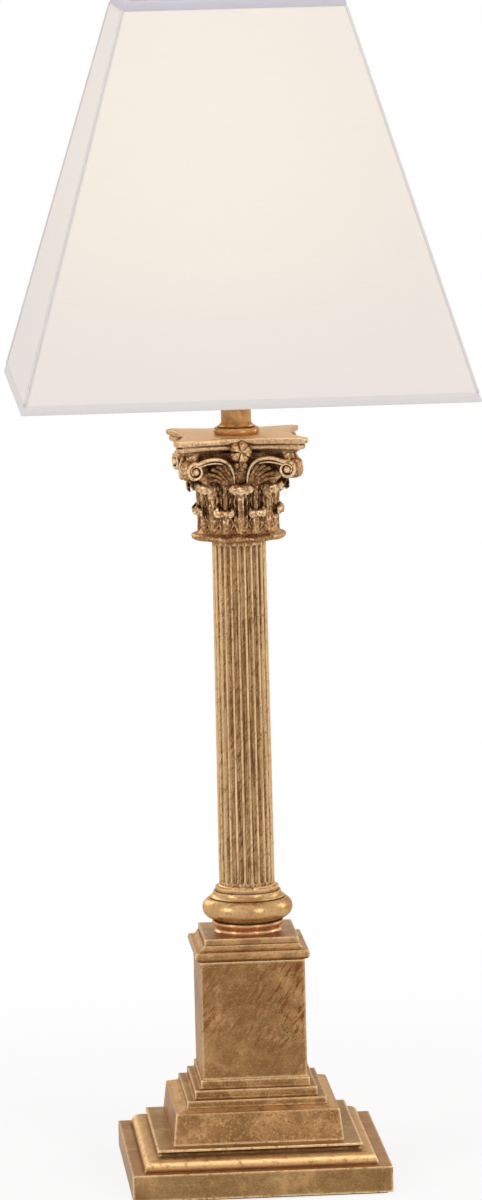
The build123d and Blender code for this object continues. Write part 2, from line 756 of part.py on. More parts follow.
with BuildPart() as switch_body:
    with Locations((0, 0, socket_floor)):
        Cylinder(switch_radius, switch_height, align=bottom_align)
    with BuildSketch(Plane.XZ.offset(switch_radius + 1)):
        with Locations((0, knob_level)):
            Circle(knob_stem_radius + running_gap)
    extrude(amount=-(switch_radius + 1 - knob_inner_depth), mode=Mode.SUBTRACT)
    with Locations((switch_radius, 0, socket_floor + switch_height / 3),
                   (-switch_radius, 0, socket_floor + switch_height / 3)):
        Box(2 * terminal_height + 1.2, 9, 9, mode=Mode.SUBTRACT)
finish(switch_body, "switch_body")

with BuildPart() as terminal_screws:
    for side in (1, -1):
        seat = switch_radius - terminal_height - 0.6
        with BuildSketch(Plane.YZ.offset(side * seat)):
            with Locations((0, socket_floor + switch_height / 3)):
                Circle(terminal_radius)
        extrude(amount=side * terminal_height)
        with BuildSketch(Plane.YZ.offset(side * (seat + terminal_height))):
            with Locations((0, socket_floor + switch_height / 3)):
                Rectangle(3 * terminal_radius, 0.6)
        extrude(amount=-side * 0.6, mode=Mode.SUBTRACT)
finish(terminal_screws, "terminal_screws")

with BuildPart() as screw_shell:
    with BuildSketch(Plane.XY.offset(screw_bottom)):
        Circle(screw_shell_radius)
        Circle(screw_shell_radius - screw_shell_wall, mode=Mode.SUBTRACT)
    extrude(amount=screw_shell_height)
finish(screw_shell, "screw_shell")

with BuildPart() as centre_contact:
    with Locations((0, 0, screw_bottom)):
        Cylinder(contact_radius, contact_height / 2, align=bottom_align)
        Cylinder(contact_radius / 2, contact_height, align=bottom_align)
finish(centre_contact, "centre_contact")

with BuildPart() as switch_knob:
    with BuildSketch(Plane.XZ.offset(knob_inner_depth + 0.5)):
        with Locations((0, knob_level)):
            Circle(knob_stem_radius)
    extrude(amount=knob_reach - knob_inner_depth)
    with BuildSketch(Plane.XZ.offset(knob_reach)):
        with Locations((0, knob_level)):
            Circle(knob_radius)
    extrude(amount=knob_length)
    chamfer(switch_knob.faces().sort_by(Axis.Y)[0].edges(), 0.5)
    with BuildSketch(Plane.XZ.offset(knob_reach)):
        with Locations((0, knob_level)):
            with PolarLocations(knob_radius + 0.5, knob_ridges):
                Circle(knob_groove)
    extrude(amount=knob_length, mode=Mode.SUBTRACT)
finish(switch_knob, "switch_knob")

# ================================================================ bulb
bulb_bottom = screw_bottom + contact_height + bulb_seat_gap
thread_bottom = bulb_bottom + bulb_tip_height
thread_top = thread_bottom + bulb_thread_turns * bulb_thread_pitch
with BuildPart() as bulb_base:
    with BuildSketch(Plane.XZ):
        with BuildLine():
            valley = bulb_screw_radius - bulb_thread_depth
            Polyline((0, bulb_bottom), (3.5, bulb_bottom), (4.5, bulb_bottom + 1),
                     (valley - 2, thread_bottom - 0.5), (valley, thread_bottom))
            for turn in range(bulb_thread_turns):
                low = thread_bottom + turn * bulb_thread_pitch
                ThreePointArc((valley, low), (bulb_screw_radius, low + bulb_thread_pitch / 2),
                              (valley, low + bulb_thread_pitch))
            Polyline((valley, thread_top), (valley, thread_top + 3), (0, thread_top + 3),
                     (0, bulb_bottom))
        make_face()
    revolve(axis=Axis.Z)
finish(bulb_base, "bulb_base")

globe_centre = bulb_bottom + bulb_length - bulb_globe_radius
with BuildPart() as bulb_glass:
    with BuildSketch(Plane.XZ):
        for radius, mode in ((bulb_globe_radius, Mode.ADD),
                             (bulb_globe_radius - bulb_glass_wall, Mode.SUBTRACT)):
            with BuildLine():
                neck = bulb_neck_radius - (bulb_globe_radius - radius)
                globe = CenterArc((0, globe_centre), radius, 90, -128)
                flank = TangentArc(globe @ 1, (neck, thread_top + 6), tangent=globe % 1)
                Polyline(flank @ 1, (neck, thread_top + 3), (0, thread_top + 3),
                         (0, globe_centre + radius))
            make_face(mode=mode)
    revolve(axis=Axis.Z)
finish(bulb_glass, "bulb_glass")

# ================================================================ harp
leg_x = saddle_half_span - 1.5 * saddle_thickness
foot_bottom = prong_top - harp_foot_height + 1.0
leg_bottom = foot_bottom + harp_foot_height
leg_top = leg_bottom + sleeve_travel + sleeve_length - harp_foot_height
widest = leg_top + harp_shoulder_rise
harp_pad_top = fitter_bottom - stud_flange_height
crown_top = harp_pad_top - harp_wire - 0.4
crown_rise = crown_top - widest
side_radius = ((harp_half_width ** 2 + (crown_rise - harp_crown_radius) ** 2
                - harp_crown_radius ** 2) / 2 / (harp_half_width - harp_crown_radius))
side_centre = (harp_half_width - side_radius, widest)
crown_centre = (0, crown_top - harp_crown_radius)
centre_gap = hypot(crown_centre[0] - side_centre[0], crown_centre[1] - side_centre[1])
join = (crown_centre[0] + harp_crown_radius * (crown_centre[0] - side_centre[0]) / centre_gap,
        crown_centre[1] + harp_crown_radius * (crown_centre[1] - side_centre[1]) / centre_gap)

with BuildPart() as harp:
    with BuildLine(Plane.XZ) as harp_line:
        leg = Line((leg_x, leg_bottom), (leg_x, leg_top))
        shoulder_middle = ((leg_x + harp_half_width) / 2, (leg_top + widest) / 2)
        lower = TangentArc(leg @ 1, shoulder_middle, tangent=leg % 1)
        upper = TangentArc(lower @ 1, (harp_half_width, widest), tangent=lower % 1)
        side = TangentArc(upper @ 1, join, tangent=upper % 1)
        crown = TangentArc(side @ 1, (0, crown_top), tangent=side % 1)
        mirror(about=Plane.YZ)
    with BuildSketch(Plane.XY.offset(leg_bottom)):
        with Locations((leg_x, 0)):
            Circle(harp_wire)
    sweep(path=harp_line.wires()[0])
    with Locations((0, 0, harp_pad_top)):
        Cylinder(harp_pad_radius, 3.6, align=(Align.CENTER, Align.CENTER, Align.MAX))
    with Locations((leg_x, 0, foot_bottom), (-leg_x, 0, foot_bottom)):
        Box(saddle_thickness, prong_width, harp_foot_height + 0.8, align=bottom_align)
finish(harp, "harp")

with BuildPart() as harp_stud:
    with Locations((0, 0, harp_pad_top)):
        Cylinder(harp_pad_radius, stud_flange_height, align=bottom_align)
    with Locations((0, 0, fitter_bottom)):
        Cylinder(stud_radius, stud_height, align=bottom_align)
    chamfer(harp_stud.edges().group_by(Axis.Z)[-1], 0.6)
finish(harp_stud, "harp_stud")

shoulder_level = collar_top + saddle_shoulder_rise
for side_name, side_x in (("left", -1), ("right", 1)):
    with BuildPart() as harp_sleeve:
        with BuildSketch(Plane.XY.offset(shoulder_level)):
            with Locations((side_x * (saddle_half_span - saddle_thickness), 0)):
                Circle(sleeve_radius)
                Circle(sleeve_bore, mode=Mode.SUBTRACT)
        extrude(amount=sleeve_length)
    finish(harp_sleeve, f"harp_sleeve_{side_name}")


# ================================================================ shade
def shade_width(level, outset=0.0):
    """Width across the shade's outer faces at a level, moved outwards by outset."""
    return shade_bottom_width - 2 * shade_slope * (level - shade_bottom) + 2 * outset


def shade_body(outset, bottom, top):
    """Solid square pyramid parallel to the shade's faces, between two levels."""
    return pyramid(shade_width(bottom, outset), shade_width(top, outset), bottom, top)


face_stretch = sqrt(1 + shade_slope ** 2)
panel_skin = panel_thickness * face_stretch
shade_outer = shade_body(0, shade_bottom, shade_top)
shade_inner = shade_body(-panel_skin, shade_bottom - 1, shade_top + 1)
for turn, panel_name in enumerate(("front", "right", "back", "left")):
    with BuildPart() as shade_panel:
        add(shade_outer)
        add(shade_inner, mode=Mode.SUBTRACT)
        with BuildSketch(Plane.XY.offset(shade_bottom - 1)) as quarter:
            reach = shade_bottom_width
            with BuildLine():
                Polyline((0, 0), (-reach, -reach), (reach, -reach), (0, 0))
            make_face()
        wedge = extrude(quarter.sketch, amount=shade_height + 2, mode=Mode.PRIVATE)
        add(wedge, rotation=(0, 0, 90 * turn), mode=Mode.INTERSECT)
    finish(shade_panel, f"shade_panel_{panel_name}")

for trim_name, trim_bottom in (("bottom", shade_bottom), ("top", shade_top - trim_height)):
    trim_top = trim_bottom + trim_height
    trim_outer = shade_body(trim_thickness, trim_bottom, trim_top)
    with BuildPart() as shade_trim:
        add(trim_outer)
        add(shade_body(0, trim_bottom - 1, trim_top + 1), mode=Mode.SUBTRACT)
    finish(shade_trim, f"{trim_name}_trim")

piping_bottom = shade_bottom + trim_height
piping_top = shade_top - trim_height
core = shade_body(0, shade_bottom - 1, shade_top + 1)
with BuildPart() as corner_piping:
    for corner in range(4):
        low_half = shade_width(piping_bottom - 5) / 2
        high_half = shade_width(piping_top + 5) / 2
        turn_angle = 45 + 90 * corner
        low_point = Vector(low_half * sqrt(2), 0, piping_bottom - 5).rotate(Axis.Z, turn_angle)
        high_point = Vector(high_half * sqrt(2), 0, piping_top + 5).rotate(Axis.Z, turn_angle)
        with BuildLine() as corner_line:
            Line(low_point, high_point)
        with BuildSketch(Plane(low_point, z_dir=high_point - low_point)):
            Circle(piping_radius)
        sweep(path=corner_line.wires()[0])
    add(core, mode=Mode.SUBTRACT)
    with Locations((0, 0, piping_bottom)):
        Box(2 * shade_bottom_width, 2 * shade_bottom_width, piping_top - piping_bottom,
            align=bottom_align, mode=Mode.INTERSECT)
finish(corner_piping, "corner_piping")


def wire_half(level, wire):
    """Half width of a wire square that lies inside the panels at a level."""
    return shade_width(level) / 2 - (panel_thickness + wire_gap + wire) * face_stretch


def square_ring(level):
    """Closed wire square with rounded corners at a level."""
    half = wire_half(level, ring_wire)
    with BuildPart() as ring:
        with BuildLine(Plane.XY.offset(level)) as path:
            FilletPolyline((half, -half), (half, half), (-half, half), (-half, -half),
                           radius=ring_corner, close=True)
        with BuildSketch(Plane.XZ):
            with Locations((half, level)):
                Circle(ring_wire)
        sweep(path=path.wires()[0])
    return ring.part


bottom_ring_level = shade_bottom + ring_inset
top_ring_level = shade_top - ring_inset
bottom_square = square_ring(bottom_ring_level)
with BuildPart() as bottom_ring:
    add(bottom_square)
finish(bottom_ring, "bottom_ring")

top_square = square_ring(top_ring_level)
with BuildPart() as spider_frame:
    add(top_square)
    with Locations((0, 0, fitter_bottom)):
        Cylinder(fitter_radius, fitter_thickness, align=bottom_align)
        Cylinder(fitter_hole, fitter_thickness, align=bottom_align, mode=Mode.SUBTRACT)
    arm_level = (fitter_bottom + fitter_top) / 2
    arm_end = wire_half(top_ring_level, ring_wire)
    for arm in range(4):
        arm_plane = Plane.XZ.rotated((0, 0, 90 * arm))
        with BuildLine(arm_plane) as arm_line:
            FilletPolyline((spider_start, arm_level), (spider_flat, arm_level),
                           (arm_end, top_ring_level), radius=20)
        start = arm_line.wires()[0]
        with BuildSketch(Plane(start @ 0, z_dir=start % 0)):
            Circle(arm_wire)
        sweep(path=start)
finish(spider_frame, "spider_frame")

with BuildPart() as corner_ribs:
    rib_bottom = bottom_ring_level + ring_wire + wire_gap
    rib_top = top_ring_level - ring_wire - wire_gap
    for corner in range(4):
        low_half = wire_half(rib_bottom, rib_wire)
        high_half = wire_half(rib_top, rib_wire)
        turn_angle = 45 + 90 * corner
        low_point = Vector(low_half * sqrt(2), 0, rib_bottom).rotate(Axis.Z, turn_angle)
        high_point = Vector(high_half * sqrt(2), 0, rib_top).rotate(Axis.Z, turn_angle)
        with BuildLine() as rib_line:
            Line(low_point, high_point)
        with BuildSketch(Plane(low_point, z_dir=high_point - low_point)):
            Circle(rib_wire)
        sweep(path=rib_line.wires()[0])
finish(corner_ribs, "corner_ribs")

# ================================================================ finial
with BuildPart() as finial:
    with BuildSketch(Plane.XZ):
        with BuildLine():
            bore = stud_radius + thread_gap
            base_top = fitter_top + finial_base_height
            ball_centre = fitter_top + finial_height * 0.52
            tip_top = fitter_top + finial_height
            bore_top = fitter_bottom + stud_height + 0.5
            Polyline((bore, fitter_top), (finial_base_radius, fitter_top),
                     (finial_base_radius, fitter_top + 1.6))
            ThreePointArc((finial_base_radius, fitter_top + 1.6),
                          (finial_base_radius - 2.4, base_top - 0.4),
                          (finial_neck_radius + 0.6, base_top + 2.2))
            Spline((finial_neck_radius + 0.6, base_top + 2.2),
                   (finial_ball_radius, ball_centre),
                   (finial_neck_radius - 0.7, ball_centre + finial_ball_radius),
                   tangents=((0, 1), (-0.4, 1)))
            Spline((finial_neck_radius - 0.7, ball_centre + finial_ball_radius),
                   (finial_tip_radius + 1.2, tip_top - 6),
                   (0, tip_top),
                   tangents=((1, 0.6), (-1, 0.3)))
            Polyline((0, tip_top), (0, bore_top), (bore, bore_top), (bore, fitter_top))
        make_face()
    revolve(axis=Axis.Z)
finish(finial, "finial")

print("total height", round(fitter_top + finial_height, 2))
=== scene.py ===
from math import cos, pi, radians, sin, sqrt

import bmesh
import bpy
import numpy as np
from mathutils import Matrix, Vector


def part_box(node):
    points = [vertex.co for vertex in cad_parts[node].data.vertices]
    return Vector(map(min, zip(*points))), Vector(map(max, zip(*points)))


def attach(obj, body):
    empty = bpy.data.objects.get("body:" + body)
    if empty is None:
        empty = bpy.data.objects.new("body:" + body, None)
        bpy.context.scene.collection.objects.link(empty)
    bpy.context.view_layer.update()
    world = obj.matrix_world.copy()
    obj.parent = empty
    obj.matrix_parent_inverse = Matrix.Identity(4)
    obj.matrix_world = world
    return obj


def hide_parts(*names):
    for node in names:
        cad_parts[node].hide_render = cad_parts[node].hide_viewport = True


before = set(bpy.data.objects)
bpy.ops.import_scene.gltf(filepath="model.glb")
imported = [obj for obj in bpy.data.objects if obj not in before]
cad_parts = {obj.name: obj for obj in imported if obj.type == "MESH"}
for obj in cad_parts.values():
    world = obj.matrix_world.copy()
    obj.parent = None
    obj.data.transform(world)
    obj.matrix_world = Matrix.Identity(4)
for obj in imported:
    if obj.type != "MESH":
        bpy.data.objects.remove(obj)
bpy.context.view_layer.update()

# Modelled pieces are worked out in millimetres, +Z up and front towards -Y, as in the packed
# model. Blender and the frame use metres.
MM = 0.001


# ---------------------------------------------------------------- colours and shader values
def rgb(red, green, blue):
    """Linear colour from the 0 to 255 values that a picture shows."""
    def linear(value):
        value /= 255
        return value / 12.92 if value <= 0.04045 else ((value + 0.055) / 1.055) ** 2.4
    return linear(red), linear(green), linear(blue), 1.0


class Value:
    """A shader socket that works in a Python expression; each operator adds its Math node."""

    def __init__(self, finish, socket):
        self.finish, self.socket = finish, socket

    def maths(self, operation, *others, clamp=False):
        return self.finish.node("Math", {"operation": operation, "use_clamp": clamp},
                                dict(enumerate(others)))

    def __add__(self, other):
        return self.maths("ADD", self, other)

    def __sub__(self, other):
        return self.maths("SUBTRACT", self, other)

    def __rsub__(self, other):
        return self.maths("SUBTRACT", other, self)

    def __mul__(self, other):
        return self.maths("MULTIPLY", self, other)

    def __truediv__(self, other):
        return self.maths("DIVIDE", self, other)

    def __pow__(self, other):
        return self.maths("POWER", self, other)

    __radd__, __rmul__ = __add__, __mul__

    def wave(self):
        """The sine of the value."""
        return self.maths("SINE", self)

    def between(self, low, high):
        """0 below low and 1 above high, or the other way round, with a smooth step between."""
        return self.finish.node("MapRange", {"interpolation_type": "SMOOTHSTEP"},
                                {"Value": self, "From Min": low, "From Max": high})

    def held(self):
        """The value kept from 0 to 1."""
        return self.maths("ADD", self, 0.0, clamp=True)


class Finish:
    """One material, built node by node."""

    def __init__(self, name, world=False):
        self.material = (bpy.data.worlds if world else bpy.data.materials).new(name)
        self.material.use_nodes = True
        self.tree = self.material.node_tree
        self.tree.nodes.clear()

    def node(self, kind, settings=None, inputs=None, output=0):
        """Adds a node: its settings first, then its sockets' values or links."""
        made = self.tree.nodes.new("ShaderNode" + kind)
        for key, value in (settings or {}).items():
            setattr(made, key, value)
        for key, value in (inputs or {}).items():
            socket = made.inputs[key]
            if isinstance(value, Value):
                self.tree.links.new(value.socket, socket)
            else:
                socket.default_value = value
        return Value(self, made.outputs[output]) if made.outputs else made

    def place(self):
        """The point's place in the lamp's own frame, in metres."""
        return self.node("TexCoord", output="Object")

    def stored(self, name):
        """A vector that a modelled piece stores for each of its points."""
        return self.node("Attribute", {"attribute_name": name}, output="Vector")

    def axes(self, vector):
        """The three parts of a vector."""
        split = self.node("SeparateXYZ", inputs={0: vector}).socket.node
        return [Value(self, socket) for socket in split.outputs]

    def stretched(self, vector, scale, turn=(0, 0, 0)):
        """The place turned back by some degrees about each axis, then scaled."""
        return self.node("Mapping", {"vector_type": "TEXTURE"},
                         {"Vector": vector, "Scale": [1 / part for part in scale],
                          "Rotation": [radians(part) for part in turn]})

    def noise(self, vector, scale, detail=3.0, roughness=0.55, distortion=0.0):
        """Soft noise round 0.5, with scale patches to the metre."""
        return self.node("TexNoise", inputs={"Vector": vector, "Scale": scale, "Detail": detail,
                                             "Roughness": roughness, "Distortion": distortion})

    def spots(self, vector, scale):
        """Distance to the nearest of many scattered points."""
        return self.node("TexVoronoi", inputs={"Vector": vector, "Scale": scale})

    def openness(self, distance, inside=False):
        """1 in the open; lower in hollows or, from inside, along outer edges."""
        return self.node("AmbientOcclusion", {"samples": 6, "inside": inside, "only_local": True},
                         {"Distance": distance}, output="AO")

    def direct_rays(self):
        """1 for what the camera sees straight, in a reflection or through glass."""
        seen, gloss, through = (self.node("LightPath", output=kind) for kind in
                                ("Is Camera Ray", "Is Glossy Ray", "Is Transmission Ray"))
        return (seen + gloss + through).held()

    def mix(self, share, first, second):
        """The first colour, with a share of the second."""
        return self.node("Mix", {"data_type": "RGBA"}, {0: share, 6: first, 7: second}, output=2)

    def relief(self, height, depth, strength):
        """A bumped normal; depth is in metres for a height of 1."""
        return self.node("Bump", inputs={"Height": height, "Distance": depth,
                                         "Strength": strength})

    def surface(self, **sockets):
        """Ends the material in a Principled surface; base_color is its Base Color, and so on."""
        named = {key.replace("_", " ").title(): value for key, value in sockets.items()}
        shader = self.node("BsdfPrincipled", inputs=named)
        self.node("OutputMaterial", inputs={0: shader})
        return self.material


# ---------------------------------------------------------------- metal finishes
GOLD_DULL = rgb(146, 105, 64)
GOLD_LIT = rgb(242, 206, 156)
GOLD_WORN = rgb(120, 84, 52)
BOLE = rgb(150, 86, 50)
UMBER = rgb(70, 42, 23)
COPPER, COPPER_LIT = rgb(174, 108, 70), rgb(214, 148, 102)
GOLD_WARM, GOLD_PALE, GOLD_BRUSHED = rgb(202, 158, 108), rgb(220, 178, 128), rgb(190, 150, 104)
RUST, GRAIN = rgb(122, 70, 38), rgb(104, 66, 38)
CARVED_PAINTED_SHADE, PAINTED_TOP_LIGHT_TINT = rgb(92, 58, 36), rgb(238, 218, 184)
EDGE_TINT = rgb(226, 200, 172)
LEAF_BUMP, METAL_BUMP, SKIN_BUMP = 0.00045, 0.00012, 0.0001  # metres
BAND_EDGE = 0.7  # millimetres over which a band fades at its lower and its upper level


def gilding(name, light, dull=GOLD_DULL, lit=GOLD_LIT, recess=0.8, recess_reach=0.003,
            recess_range=(0.92, 0.55), rub=0.4, streaks=0.0, specks=0.5, brushed=0.0, copper=None,
            polish=0.35, pebble=0.6, grained=0.0, bands=(), modelled=False):
    """Aged gold leaf over red clay: cloudy gold, umber glaze and painted shade in hollows, rubbed
    edges with a painted highlight, and specks.

    light, dull and lit are the leaf's tones, lit also giving the painted highlights; recess is the
    share of umber glaze and painted shade in hollows; rub, streaks, specks, pebble and grained are
    shares of each kind of wear; polish is the roughness. copper gives the level below which the
    leaf is painted copper as a reflection of the gilt below, and the level above which it is whole.
    Each band gives its two levels, a colour and its share; on the plinth and foot they are partly
    painted highlights and painted shade. A modelled piece has marks of its painted light: how lit
    or shaded each point is painted, how thick the casting is, and where its top is painted paler.
    """
    finish = Finish(name)
    place = finish.place()
    clouds = finish.noise(place, 20, 4, 0.6)
    patches = finish.noise(place, 62, 6, 0.62, 0.5)
    mottle = finish.noise(place, 170, 6, 0.65, 0.4)
    pebbles = finish.noise(place, 640, 3, 0.6)
    edge_wear_and_glint = finish.noise(place, 330, 4, 0.7)
    colour = finish.mix(clouds.between(0.40, 0.62), dull, light)
    colour = finish.mix(patches.between(0.50, 0.66) * 0.55, colour, GOLD_WARM)
    colour = finish.mix(patches.between(0.49, 0.33) * 0.45, colour, GOLD_WORN)
    colour = finish.mix(mottle.between(0.50, 0.36) * 0.40, colour, GOLD_WORN)
    colour = finish.mix(pebbles.between(0.54, 0.70) * (0.5 * pebble), colour, GOLD_PALE)
    colour = finish.mix(pebbles.between(0.47, 0.33) * (0.7 * pebble), colour, GOLD_WORN)
    # painted reflection: a copper band low on the column base, for the gilt pedestal reflected
    # below it
    if copper:
        height = finish.axes(place)[2] + (clouds - 0.5) * 0.004
        band = height.between(copper[1] * MM, copper[0] * MM)
        colour = finish.mix(band * 0.85, colour, finish.mix(mottle.between(0.35, 0.6), COPPER,
                                                            COPPER_LIT))
    for low, high, tint, share in bands:
        height = finish.axes(place)[2] / MM
        band = (height.between(low - BAND_EDGE, low + BAND_EDGE)
                * height.between(high + BAND_EDGE, high - BAND_EDGE))
        colour = finish.mix(band * mottle.between(0.30, 0.52) * share, colour, tint)
    if streaks:
        x, _, z = finish.axes(place)
        run = finish.noise(finish.stretched(place, (90, 90, 7), (8, 33, 0)), 6.0, 4, 0.65, 0.5)
        bias = finish.noise(place, 17, 2) + x * 2.2 + (z - 0.115) * 1.2
        smear = run.between(0.51, 0.59) * (bias.between(0.41, 0.58) * 0.8 + 0.2)
        colour = finish.mix(smear * streaks, colour, RUST)
    if grained:
        fibre = finish.noise(finish.stretched(place, (90, 90, 3.5)), 6.0, 4, 0.7)
        colour = finish.mix(fibre.between(0.48, 0.38) * grained, colour, GRAIN)
        colour = finish.mix(fibre.between(0.53, 0.62) * grained, colour, lit)
    dust = finish.spots(place, 420).between(0.30, 0.12) * finish.noise(place, 45, 3).between(
        0.46, 0.68)
    colour = finish.mix(dust * specks, colour, UMBER)
    # outer edges: rubbed through to red clay, and lightened towards the lit tone as a painted
    # highlight
    edge = finish.openness(0.0020, inside=True).between(0.94, 0.56)
    if modelled:
        painted_light, thick, painted_top_light = finish.axes(finish.stored("relief"))
        speckle = (pebbles - 0.5) * 1.6 + (mottle - 0.5) * 0.7
        painted_light = painted_light + speckle * (1 - thick * 0.7)
        # painted shade where the carving is low, painted highlight where it is proud, and a paler
        # painted top
        colour = finish.mix(painted_light.between(0.56, 0.18) * 0.9, colour, CARVED_PAINTED_SHADE)
        colour = finish.mix(painted_light.between(0.60, 0.86) * 0.9, colour, lit)
        colour = finish.mix(painted_top_light * 0.75, colour, PAINTED_TOP_LIGHT_TINT)
        edge = edge * thick
    # hollows darkened with umber: partly glaze in the hollows, partly painted shade
    hollow = finish.openness(recess_reach).between(*recess_range)
    colour = finish.mix(hollow * recess, colour, UMBER)
    colour = finish.mix((edge * edge_wear_and_glint.between(0.3, 0.5)).held(), colour, lit)
    colour = finish.mix(edge * mottle.between(0.56, 0.68) * rub, colour, BOLE)
    rough = polish + (mottle - 0.5) * 0.22 + hollow * 0.2 - edge * 0.08
    height = pebbles * 0.5 * pebble + mottle * 0.7
    if brushed:
        lines = finish.noise(finish.stretched(place, (1, 1, 24)), 70, 3, 0.7)
        height = height + lines * brushed
        colour = finish.mix(lines.between(0.52, 0.7) * 0.3, colour, GOLD_BRUSHED)
    bumped = finish.relief(height, LEAF_BUMP, 0.6)
    return finish.surface(base_color=colour, metallic=0.72, roughness=rough.held(),
                          specular_tint=EDGE_TINT, normal=bumped)


def metal(name, colour, roughness, shade=None, metallic=1.0):
    """Plain turned, drawn or plated metal with faint tarnish and fine tool marks."""
    wear = 0.15
    finish = Finish(name)
    place = finish.place()
    tarnish = finish.noise(place, 160, 5, 0.6)
    marks = finish.noise(finish.stretched(place, (1, 1, 18)), 260, 3, 0.6)
    dark = shade or tuple(0.55 * part for part in colour[:3]) + (1.0,)
    tint = finish.mix(tarnish.between(0.45, 0.75) * (wear * 3), colour, dark)
    # painted shade: hollows darkened towards the dark tone
    tint = finish.mix(finish.openness(0.003).between(0.9, 0.3) * 0.5, tint, dark)
    rough = roughness + (tarnish - 0.5) * wear + marks * 0.06
    return finish.surface(base_color=tint, metallic=metallic, roughness=rough.held(),
                          normal=finish.relief(marks * 0.5 + tarnish * 0.5, METAL_BUMP, 0.4))


def moulded(name, colour, roughness, grain=900):
    """Moulded plastic, card or glazed insulation with a fine skin texture."""
    finish = Finish(name)
    place = finish.place()
    skin = finish.noise(place, grain, 3)
    tone = finish.noise(place, 60, 3)
    darker = tuple(0.8 * part for part in colour[:3]) + (1.0,)
    return finish.surface(base_color=finish.mix(tone.between(0.35, 0.65) * 0.5, colour, darker),
                          roughness=(roughness + (skin - 0.5) * 0.15).held(),
                          normal=finish.relief(skin, SKIN_BUMP, 0.4))


# ---------------------------------------------------------------- modelled forms
class Form:
    """Vertices and faces of a piece, gathered from grids of points in millimetres.

    Each point may have a mark, a vector for the piece's finish; mark is the one that points get
    when none are given with them.
    """

    def __init__(self, mark=None):
        self.vertices, self.faces, self.marks, self.mark = [], [], [], mark

    def grid(self, rows, marks=None, joined=False):
        """Skin over rows of points, each row a closed ring. The end rows are joined or capped."""
        rows = np.asarray(rows, float)
        count, around = rows.shape[:2]
        start = len(self.vertices)
        self.vertices.extend(map(tuple, rows.reshape(-1, 3)))
        if marks is not None:
            self.marks.extend(map(tuple, np.asarray(marks, float).reshape(-1, 3)))
        elif self.mark:
            self.marks.extend([self.mark] * (count * around))
        for i in range(count if joined else count - 1):
            low, high = start + i * around, start + (i + 1) % count * around
            self.faces.extend((low + j, low + (j + 1) % around, high + (j + 1) % around, high + j)
                              for j in range(around))
        if not joined:
            self.faces.append(tuple(range(start + around - 1, start - 1, -1)))
            last = start + (count - 1) * around
            self.faces.append(tuple(range(last, last + around)))

    def tube(self, points, radii, sides, flat=1.0, side_axis=(0, 0, 1)):
        """Round or flattened rod along a line of points."""
        points = np.asarray(points, float)
        radii = np.broadcast_to(np.asarray(radii, float), len(points))
        ahead = np.gradient(points, axis=0)
        ahead /= np.linalg.norm(ahead, axis=1)[:, None]
        across = np.cross(ahead, np.asarray(side_axis, float))
        across /= np.linalg.norm(across, axis=1)[:, None]
        up = np.cross(across, ahead)
        turn = np.linspace(0, 2 * pi, sides, endpoint=False)
        rows = [p + r * (np.outer(np.cos(turn), a) * flat + np.outer(np.sin(turn), b))
                for p, r, a, b in zip(points, radii, across, up)]
        self.grid(rows)

    def turned(self, profile, around, centre=(0, 0, 0), axis=(0, 0, 1), wave=None):
        """Solid turned from (radius, height) points about an axis through centre.

        wave gives what to add to the radius and the height round the axis.
        """
        axis = Vector(axis).normalized()
        upright_to_axis = np.array(axis.to_track_quat("Z", "Y").to_matrix())
        turn = np.linspace(0, 2 * pi, around, endpoint=False)
        rows = []
        for radius, height in profile:
            swell = wave(turn, radius, height) if wave else (0 * turn, 0 * turn)
            local = np.stack([(radius + swell[0]) * np.cos(turn),
                              (radius + swell[0]) * np.sin(turn), height + swell[1]], 1)
            rows.append(local @ upright_to_axis.T + np.asarray(centre, float))
        self.grid(rows)

    def piece(self, name, material, body, replaces, attribute="cloth",
              smooth_angle=None):
        """Makes the Blender object, with its finish, and lets it ride on its body."""
        mesh = bpy.data.meshes.new(name)
        mesh.from_pydata([(x * MM, y * MM, z * MM) for x, y, z in self.vertices], [], self.faces)
        mesh.validate()
        mesh.update()
        if self.marks:
            stored = mesh.attributes.new(attribute, "FLOAT_VECTOR", "POINT")
            stored.data.foreach_set("vector", np.asarray(self.marks, np.float32).ravel())
        mesh.materials.append(material)
        made = bpy.data.objects.new(name, mesh)
        bpy.context.scene.collection.objects.link(made)
        outward(made)
        mesh.shade_smooth()
        if smooth_angle:
            mesh.set_sharp_from_angle(angle=radians(smooth_angle))
        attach(made, body)
        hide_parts(*replaces)
        return made


def outward(made):
    """Turns every face of a closed piece outwards."""
    work = bmesh.new()
    work.from_mesh(made.data)
    bmesh.ops.recalc_face_normals(work, faces=work.faces)
    work.to_mesh(made.data)
    work.free()


def smooth_line(points, count):
    """Evenly spaced points on a smooth curve through the given ones."""
    steps = 24
    points = np.asarray(points, float)
    padded = np.vstack([2 * points[0] - points[1], points, 2 * points[-1] - points[-2]])
    line = []
    for a, b, c, d in zip(padded, padded[1:], padded[2:], padded[3:]):
        for t in np.linspace(0, 1, steps, endpoint=False):
            line.append(0.5 * (2 * b + (c - a) * t + (2 * a - 5 * b + 4 * c - d) * t ** 2
                               + (3 * b - a - 3 * c + d) * t ** 3))
    line = np.array(line + [points[-1]])
    along = np.concatenate([[0], np.cumsum(np.linalg.norm(np.diff(line, axis=0), axis=1))])
    even = np.linspace(0, along[-1], count)
    return np.stack([np.interp(even, along, line[:, k]) for k in range(3)], 1)


def swung(x, y, angle):
    """A point's x and y after a turn about the lamp's axis, in radians."""
    return x * cos(angle) - y * sin(angle), x * sin(angle) + y * cos(angle)


def level_ring(radius, turn, height):
    """A level ring of points round the lamp's axis."""
    return np.stack([radius * np.cos(turn), radius * np.sin(turn), np.full(len(turn), height)], 1)


def dress(material, *nodes):
    """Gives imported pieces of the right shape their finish."""
    for node in nodes:
        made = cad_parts[node]
        made.data.materials.clear()
        made.data.materials.append(material)


def levels(node):
    """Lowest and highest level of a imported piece, in millimetres."""
    low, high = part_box(node)
    return low.z / MM, high.z / MM


